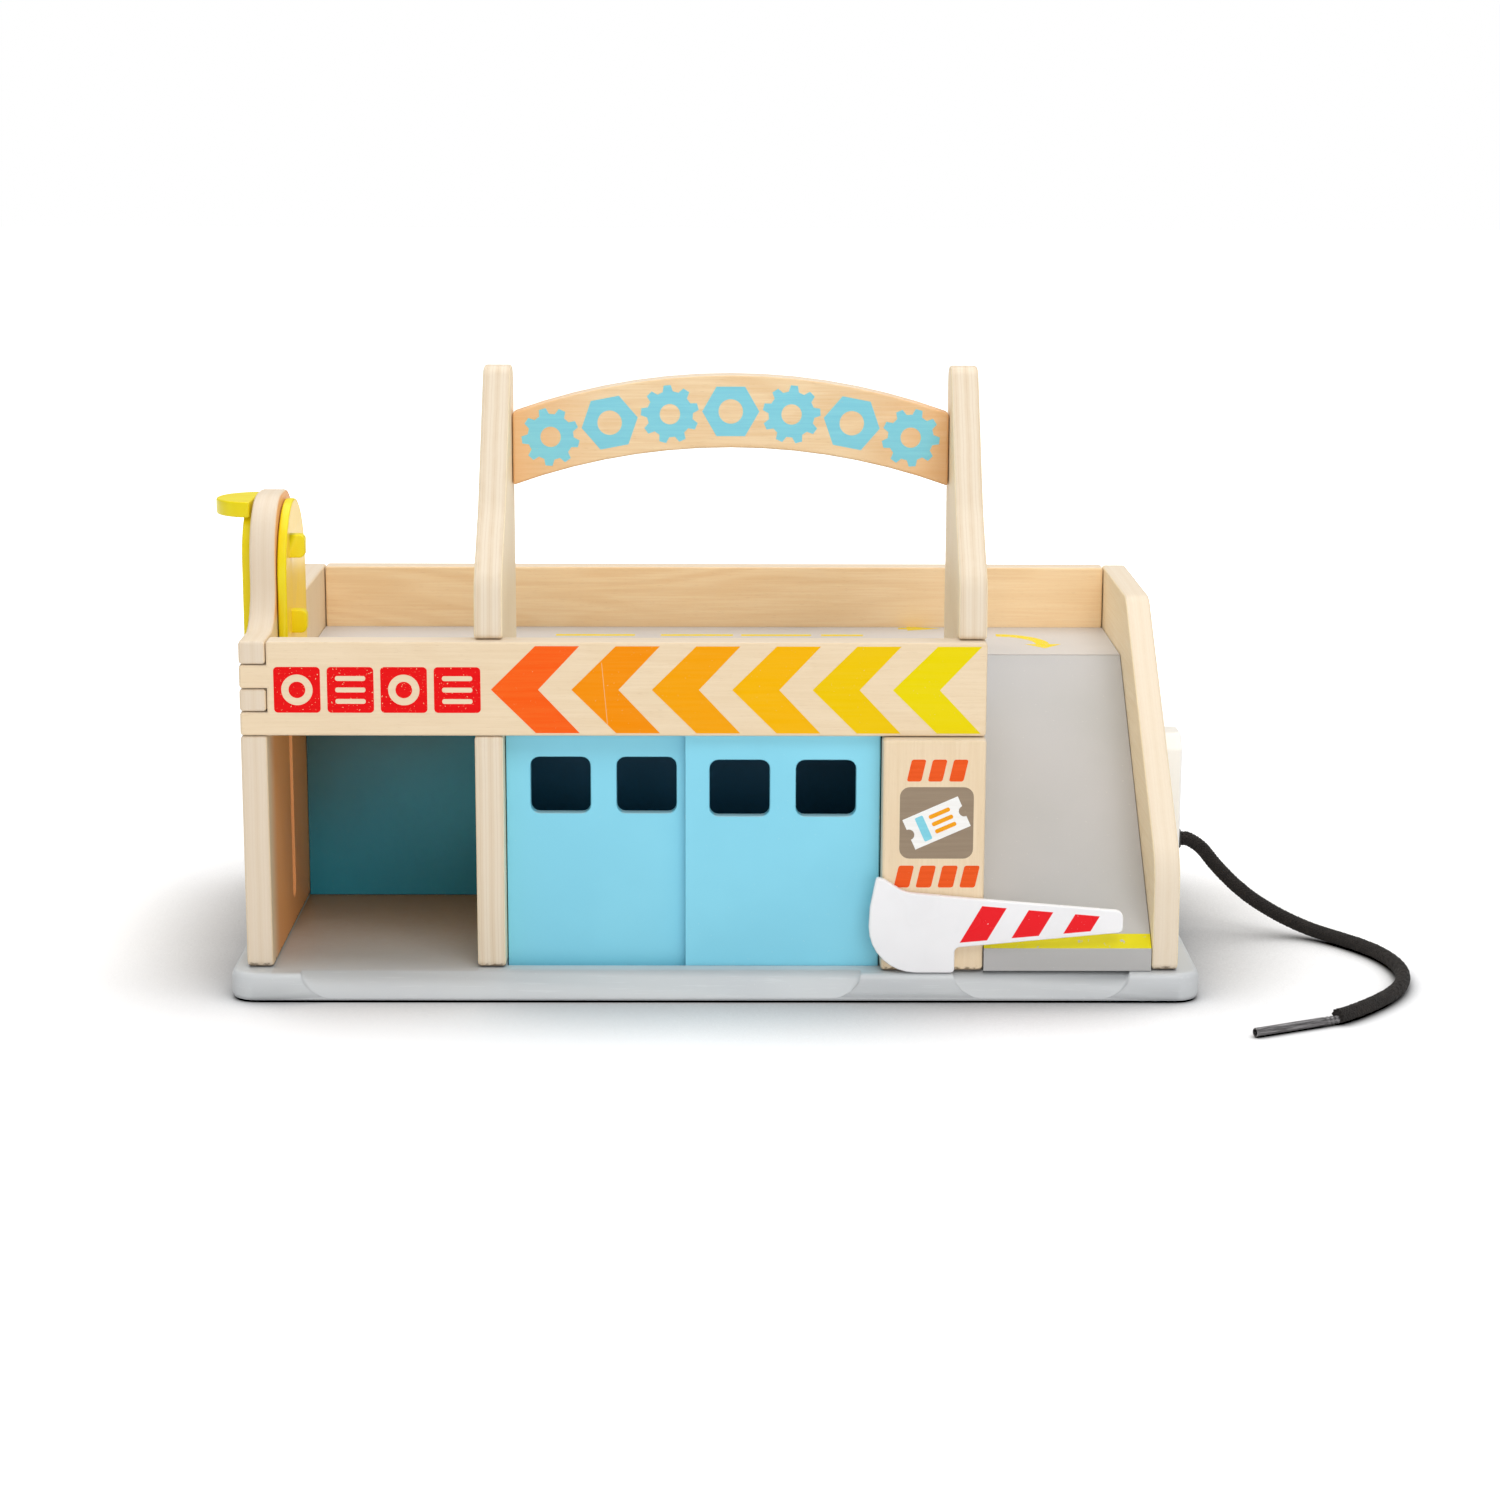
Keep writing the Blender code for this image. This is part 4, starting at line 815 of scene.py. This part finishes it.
def makeNozzle(spec):
    low, high = [Vector(corner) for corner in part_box("hose_nozzle")]
    middle = (low + high) / 2  # on the tube's axis, halfway along
    toHose = (hosePath[-1] - middle) * Vector((1, 1, 0))
    heading = -toHose.normalized()
    start = middle - heading * (spec["length"] / 2 * mm)
    piece = lathe("hoseNozzle", nozzleProfile(spec), start, heading, spec["sides"])
    finish = Finish("nozzleTube", Metallic=0.85)
    x, y, z = finish.parts(finish.place())
    lengthwise = x * heading.x + y * heading.y
    sideways = x * heading.y - y * heading.x
    streak = finish.noise(finish.vector(lengthwise * 0.12, sideways * 2.5, z * 2.5), 1.0, 4.0, 0.65)
    finish.set("Roughness", streak * 0.3 + 0.28)
    finish.bump(streak, 0.00004, 0.6)
    piece.data.materials.append(finish.coat(finish.between(streak.above(0.5, 0.16), *spec["tones"])))
    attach(piece, "garage")
    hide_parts("hose_nozzle")
    return piece


nozzlePiece = makeNozzle(nozzle)
print("nozzle made")


# Printed motifs: thin closed slabs of ink on the boards

def turned(centre, tilt, a, b):
    # the point that lies a across and b up from the centre, tilted about it
    return (centre[0] + a * math.cos(tilt) - b * math.sin(tilt),
            centre[1] + a * math.sin(tilt) + b * math.cos(tilt))


def roundBox(centre, width, height, radius, tilt=0.0, lean=0.0, steps=6):
    # a box with round corners, tilted about its centre; lean shears it sideways
    ring = []
    for sideX, sideY, first in ((1, 1, 0), (-1, 1, 1), (-1, -1, 2), (1, -1, 3)):
        cornerX = sideX * (width / 2 - radius)
        cornerY = sideY * (height / 2 - radius)
        for k in range(steps + 1):
            angle = (first + k / steps) * math.pi / 2
            ring.append((cornerX + radius * math.cos(angle), cornerY + radius * math.sin(angle)))
    return [turned(centre, tilt, a + b * lean, b) for a, b in ring]


def cog(centre, radius, teeth, tooth, turn=0.0):
    # a gear's outline: each tooth is a flat-topped block with sloping flanks, in shares of its pitch
    root = radius - tooth
    ring = []
    for k in range(teeth):
        for reach, share in ((root, -0.32), (radius, -0.17), (radius, 0.17), (root, 0.32)):
            angle = turn + 2 * math.pi * (k + share) / teeth
            ring.append((centre[0] + reach * math.cos(angle), centre[1] + reach * math.sin(angle)))
    return ring


inkRise = 0.045  # mm that ink stands proud; what is printed over it lies higher


def printMesh(name, rings, facing, level, rise=inkRise, sink=0.02):
    # rings in mm, those inside others being holes; facing is "front" (-Y) or "top" (+Z)
    curve = bpy.data.curves.new(name, "CURVE")
    curve.dimensions = "2D"
    curve.fill_mode = "BOTH"
    curve.extrude = (rise + sink) / 2 * mm
    for ring in rings:
        spline = curve.splines.new("POLY")
        spline.points.add(len(ring) - 1)
        spline.use_cyclic_u = True
        for point, (a, b) in zip(spline.points, ring):
            point.co = (a * mm, b * mm, 0, 1)
    mesh = plainMesh(addObject(name + "Curve", curve))
    middle = (rise - sink) / 2
    if facing == "front":
        place = Matrix.Translation((0, (level - middle) * mm, 0)) @ Matrix.Rotation(math.pi / 2, 4, "X")
    else:
        place = Matrix.Translation((0, 0, (level + middle) * mm))
    mesh.transform(place)
    ink = bmesh.new()
    ink.from_mesh(mesh)
    bmesh.ops.remove_doubles(ink, verts=ink.verts, dist=0.000002)
    bmesh.ops.recalc_face_normals(ink, faces=ink.faces)
    ink.to_mesh(mesh)
    ink.free()
    mesh.name = name
    return mesh


def placePrint(piece, body="garage"):
    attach(piece, body)


def printPiece(name, rings, facing, level, finish, rise=inkRise):
    piece = addObject(name, printMesh(name, rings, facing, level, rise))
    piece.data.materials.clear()
    piece.data.materials.append(finish)
    placePrint(piece)


chevrons = {
    "count": 6,
    "firstTip": -89.0,
    "pitch": 31.8,
    "level": 126.3,
    "half": 17.5,
    "notch": 18.6,  # from the tip to the notch, and to each corner
    "shoulder": 17.6,
    "tail": 35.0,
    "face": -100.2,
    "tones": [(250, 93, 22), (246, 143, 4), (246, 163, 8), (246, 182, 2), (240, 199, 2), (236, 215, 2)],
    "scratch": (-45.2, 137.1, -0.0887, 112.3),  # x and z of its top, its lean, and z of its foot
}


def rowGrowth(name):
    # copies of the given shape in a row, each with its step along the row
    grow = Growth(name, Count="count", Pitch="number", Finish="finish")
    shape, count, pitch = [grow.given(label) for label in ("Geometry", "Count", "Pitch")]
    line = grow.node("GeometryNodeMeshLine", {"mode": "OFFSET"},
                     {"Count": count, "Offset": grow.vector(pitch, 0.0, 0.0)})
    copies = grow.node("GeometryNodeInstanceOnPoints", {}, {"Points": line, "Instance": shape})
    number = grow.node("GeometryNodeInputIndex")
    numbered = grow.node("GeometryNodeStoreNamedAttribute", {"data_type": "FLOAT", "domain": "INSTANCE"},
                         {"Geometry": copies, "Name": "step", "Value": number / (count - 1)})
    grow.grow(numbered, grow.given("Finish"))
    return grow


def makeChevrons(spec):
    tip, level, half = spec["firstTip"], spec["level"], spec["half"]
    shoulder, tail, notch = tip + spec["shoulder"], tip + spec["tail"], tip + spec["notch"]
    shape = [(tip, level), (shoulder, level + half), (tail, level + half), (notch, level),
             (tail, level - half), (shoulder, level - half)]
    last = len(spec["tones"]) - 1
    stops = [(k / last, linear(*tone)) for k, tone in enumerate(spec["tones"])]
    ink = inkFinish("chevronInk", (250, 93, 22), (240, 80, 15), wear=0.74, ramp=stops,
                    scratch=spec["scratch"])
    seed = addObject("chevronSeed", printMesh("chevron", [shape], "front", spec["face"]))
    piece = rowGrowth("chevronRow").bake(seed, "chevronPrints", Count=spec["count"],
                                         Pitch=spec["pitch"] * mm, Finish=ink)
    placePrint(piece)


blocks = {
    "start": -174.8,
    "width": 18.4,
    "gap": 2.7,
    "level": 126.1,
    "face": -100.2,
    "count": 4,
    "corner": 1.6,
    "wheel": (6.2, 3.3),  # radius of its rim and of its hub
    "slat": (12.0, 2.0, 4.6, 0.9),  # length, height, pitch and corner
}


def makeBlocks(spec):
    # bold red tiles: a wheel, then three slats, by turns
    width = spec["width"]
    length, height, pitch, corner = spec["slat"]
    rings = []
    for k in range(spec["count"]):
        centre = (spec["start"] + width / 2 + k * (width + spec["gap"]), spec["level"])
        rings.append(roundBox(centre, width, width, spec["corner"]))
        if k % 2 == 0:
            rings += [circle(centre, radius) for radius in spec["wheel"]]
        else:
            rings += [roundBox((centre[0], centre[1] + rise), length, height, corner)
                      for rise in (-pitch, 0, pitch)]
    ink = inkFinish("tileInk", (238, 26, 27), (230, 20, 24), wear=0.69)
    printPiece("tilePrints", rings, "front", spec["face"], ink)


archMotifs = {
    "count": 7,
    "spread": 0.285,  # angle from the middle to the last motif's centre, in radians
    "size": 12.0,
    "teeth": 9,
    "tooth": 2.5,
    "bore": 4.2,
    "nut": (0.98, 1.2),  # its size and bore, in shares of the cog's
    "crown": 243.6,  # the arch's own size: top of its curve, rise, height and half its span
    "rise": 15.8,
    "height": 30.0,
    "half": 89.95,
    "middle": 5.75,
    "face": -25.7,
}


def makeArchMotifs(spec):
    # cog wheels and hexagon nuts by turns along the arch
    radius = (spec["half"] ** 2 + spec["rise"] ** 2) / (2 * spec["rise"])
    rings = []
    for k in range(spec["count"]):
        angle = spec["spread"] * (2 * k / (spec["count"] - 1) - 1)
        centre = (spec["middle"] + radius * math.sin(angle),
                  spec["crown"] - spec["height"] / 2 - radius * (1 - math.cos(angle)))
        if k % 2 == 0:
            rings += [cog(centre, spec["size"], spec["teeth"], spec["tooth"], -angle + math.pi / 2),
                      circle(centre, spec["bore"])]
        else:
            rings += [circle(centre, spec["size"] * spec["nut"][0], 6, -angle),
                      circle(centre, spec["bore"] * spec["nut"][1])]
    ink = inkFinish("signInk", (142, 217, 231), (132, 208, 226), wear=0.76)
    printPiece("signPrints", rings, "front", spec["face"], ink)


boothPrints = {
    "face": -104.0,
    "window": (87.8, 73.3),
    "windowSize": (29.4, 29.2),
    "windowTone": (158, 140, 119),
    "windowCorner": 4.0,
    "tilt": math.radians(24),
    "upperRow": (87.95, 94.65, 25.1, 8.9, 3),  # centre, width, height, blocks
    "lowerRow": (88.2, 51.3, 35.0, 9.0, 4),
    "rowGap": 2.6,
    "rowCorner": 0.9,
    "rowLean": 0.22,
    "rowTone": (241, 97, 43),
    "ticket": (12.0, 6.6, 2.2),  # half its length and height, radius of the notches at its ends
    "band": (-5.6, 3.4, 10.4, 0.6),  # along the ticket: middle, width, height, corner
    "bar": (2.6, 9.0, 1.7, 0.7),
    "barRises": (-3.2, 0, 3.2),
}


def makeBoothPrints(spec):
    face = spec["face"]
    centre = spec["window"]
    tilt = spec["tilt"]
    width, height = spec["windowSize"]
    grey = inkFinish("windowInk", spec["windowTone"], (150, 132, 112), wear=0.78)
    pane = roundBox(centre, width, height, spec["windowCorner"])
    printPiece("boothWindowPrint", [pane], "front", face, grey)

    long, tall, notch = spec["ticket"]
    arc = [(notch * math.sin(math.pi * k / 8), notch * math.cos(math.pi * k / 8)) for k in range(1, 8)]
    outline = [(long, notch), (long, tall), (-long, tall), (-long, notch)]
    outline += [(-long + a, b) for a, b in arc]
    outline += [(-long, -notch), (-long, -tall), (long, -tall), (long, -notch)]
    outline += [(long - a, -b) for a, b in arc]
    outline = [turned(centre, tilt, a, b) for a, b in outline]
    white = inkFinish("ticketInk", (250, 249, 246), (243, 241, 237), wear=0.80)
    printPiece("ticketPrint", [outline], "front", face, white, inkRise + 0.03)
    blue = inkFinish("ticketBlueInk", (142, 217, 231), (132, 208, 226), wear=0.80)
    middle, width, height, corner = spec["band"]
    band = [roundBox(turned(centre, tilt, middle, 0), width, height, corner, tilt)]
    printPiece("ticketBandPrint", band, "front", face, blue, inkRise + 0.06)
    amber = inkFinish("ticketAmberInk", (248, 170, 40), (240, 156, 30), wear=0.80)
    middle, width, height, corner = spec["bar"]
    bars = [roundBox(turned(centre, tilt, middle, rise), width, height, corner, tilt)
            for rise in spec["barRises"]]
    printPiece("ticketBarPrints", bars, "front", face, amber, inkRise + 0.06)
    rows = []
    for middle, level, span, height, count in (spec["upperRow"], spec["lowerRow"]):
        pitch = span / count
        first = middle - span / 2 + pitch / 2
        rows += [roundBox((first + pitch * k, level), pitch - spec["rowGap"], height, spec["rowCorner"],
                          lean=spec["rowLean"]) for k in range(count)]
    orange = inkFinish("boothOrangeInk", spec["rowTone"], (233, 86, 34), wear=0.74)
    printPiece("boothRowPrints", rows, "front", face, orange)


deckPrints = {
    "level": 118.0,
    "tone": (238, 214, 60),
    "lane": 71.5,
    "dashes": [(-72.2, -36.8), (-25.2, 7.1), (10.7, 42.1), (46.6, 65.4)],
    "dashWidth": 4.0,
    "dashCorner": 0.6,
    "laneArrow": [(101, 89.5), (86, 95), (86, 91.5), (82, 91.5), (82, 87.5), (86, 87.5), (86, 84)],
    "turnCentre": (125, 50),
    "turnOuter": (22, 25),
    "turnInner": (16, 19),
    "turnHead": [(152, 50), (144, 40), (136, 50)],
}


def makeDeckPrints(spec):
    # lane dashes, and a turning arrow at the head of the ramp
    rings = [roundBox(((a + b) / 2, spec["lane"]), b - a, spec["dashWidth"], spec["dashCorner"])
             for a, b in spec["dashes"]]
    rings.append(spec["laneArrow"])
    quarter = [math.radians(90 - 90 * k / 14) for k in range(15)]
    middleX, middleY = spec["turnCentre"]

    def bend(reach):
        return [(middleX + reach[0] * math.cos(t), middleY + reach[1] * math.sin(t)) for t in quarter]

    rings.append(bend(spec["turnOuter"]) + spec["turnHead"] + bend(spec["turnInner"])[::-1])
    ink = inkFinish("deckInk", spec["tone"], (228, 202, 44), wornTone=(204, 196, 178), wear=0.62)
    printPiece("deckPrints", rings, "top", spec["level"], ink)


makeChevrons(chevrons)
makeBlocks(blocks)
makeArchMotifs(archMotifs)
makeBoothPrints(boothPrints)
makeDeckPrints(deckPrints)
print("prints made")


# Stage and light

stage = {
    "floorSize": 12.0,
    "floorLevel": -0.0002,
    "worldStrength": 0.35,
    "glow": 0.20,
    "paper": 0.90,  # the floor's own tone
    "paintedShadowReach": 0.09,  # how far from an object the floor's painted shadow reaches, in metres
    "paperReach": 700.0,  # mm from the middle at which the floor turns plain white
    "paperFade": 250.0,
    "lamps": [
        # name, place, aimed at, width, height, watts
        ("overheadSoftbox", (0.0, 0.40, 1.6), (0, 0, 0.05), 2.4, 1.8, 25.0),
        ("frontSoftbox", (0.35, -1.35, 1.65), (0, 0, 0.1), 1.3, 0.9, 12.5),
        ("lowFill", (0.4, -2.4, 0.45), (0, 0, 0.1), 1.8, 0.7, 11.5),
    ],
}


def makeStage(spec):
    half, level = spec["floorSize"] / 2, spec["floorLevel"]
    corners = [(-half, -half, level), (half, -half, level), (half, half, level), (-half, half, level)]
    mesh = bpy.data.meshes.new("studioFloor")
    mesh.from_pydata(corners, [], [(0, 1, 2, 3)])
    floor = addObject("studioFloor", mesh)
    finish = Finish("paperFloor", Roughness=0.9, Specular_IOR_Level=0.1)
    reach = {"Distance": spec["paintedShadowReach"]}
    # painted shadow: ambient occlusion darkens the floor's colour and its glow near the model
    shade = finish.node("ShaderNodeAmbientOcclusion", {"samples": 8}, reach, "AO") * 1.25 - 0.25
    paper = spec["paper"]
    rays = finish.node("ShaderNodeLightPath").socket.node.outputs
    seen = Signal(finish, rays["Is Camera Ray"]) + Signal(finish, rays["Is Glossy Ray"])
    x, y = finish.parts(finish.place())[:2]
    squared = x * x + y * y
    away = squared.calc("SQRT", squared).above(spec["paperReach"], spec["paperFade"])
    glow = finish.node("ShaderNodeEmission", {}, {
        "Strength": seen * shade * (away * (1 - spec["glow"]) + spec["glow"])})
    paint = Signal(finish, finish.shader.outputs[0])
    whole = finish.node("ShaderNodeAddShader", {}, {0: paint, 1: glow})
    finish.feed(finish.tree.nodes["Material Output"].inputs["Surface"], whole)
    tone = finish.mix(shade, (0, 0, 0, 1), (paper, paper, paper * 1.01, 1))
    mesh.materials.append(finish.coat(tone))


def makeWorld(spec):
    world = bpy.data.worlds.new("studioAir")
    world.use_nodes = True
    bpy.context.scene.world = world
    tree = NodeTree(world.node_tree)
    background = world.node_tree.nodes["Background"]
    rays = tree.node("ShaderNodeLightPath").socket.node.outputs
    seen = Signal(tree, rays["Is Camera Ray"])
    background.inputs["Color"].default_value = (1, 1, 1, 1)
    tree.feed(background.inputs["Strength"], seen * (1 - spec["worldStrength"]) + spec["worldStrength"])


def makeLamps(spec):
    for name, place, target, width, height, watts in spec["lamps"]:
        data = bpy.data.lights.new(name, "AREA")
        data.shape = "RECTANGLE"
        data.size = width
        data.size_y = height
        data.energy = watts
        lamp = addObject(name, data)
        lamp.location = place
        lamp.rotation_euler = (Vector(target) - Vector(place)).to_track_quat("-Z", "Y").to_euler()


makeStage(stage)
makeWorld(stage)
makeLamps(stage)
bpy.context.scene.view_settings.view_transform = "Standard"
print("stage lit")
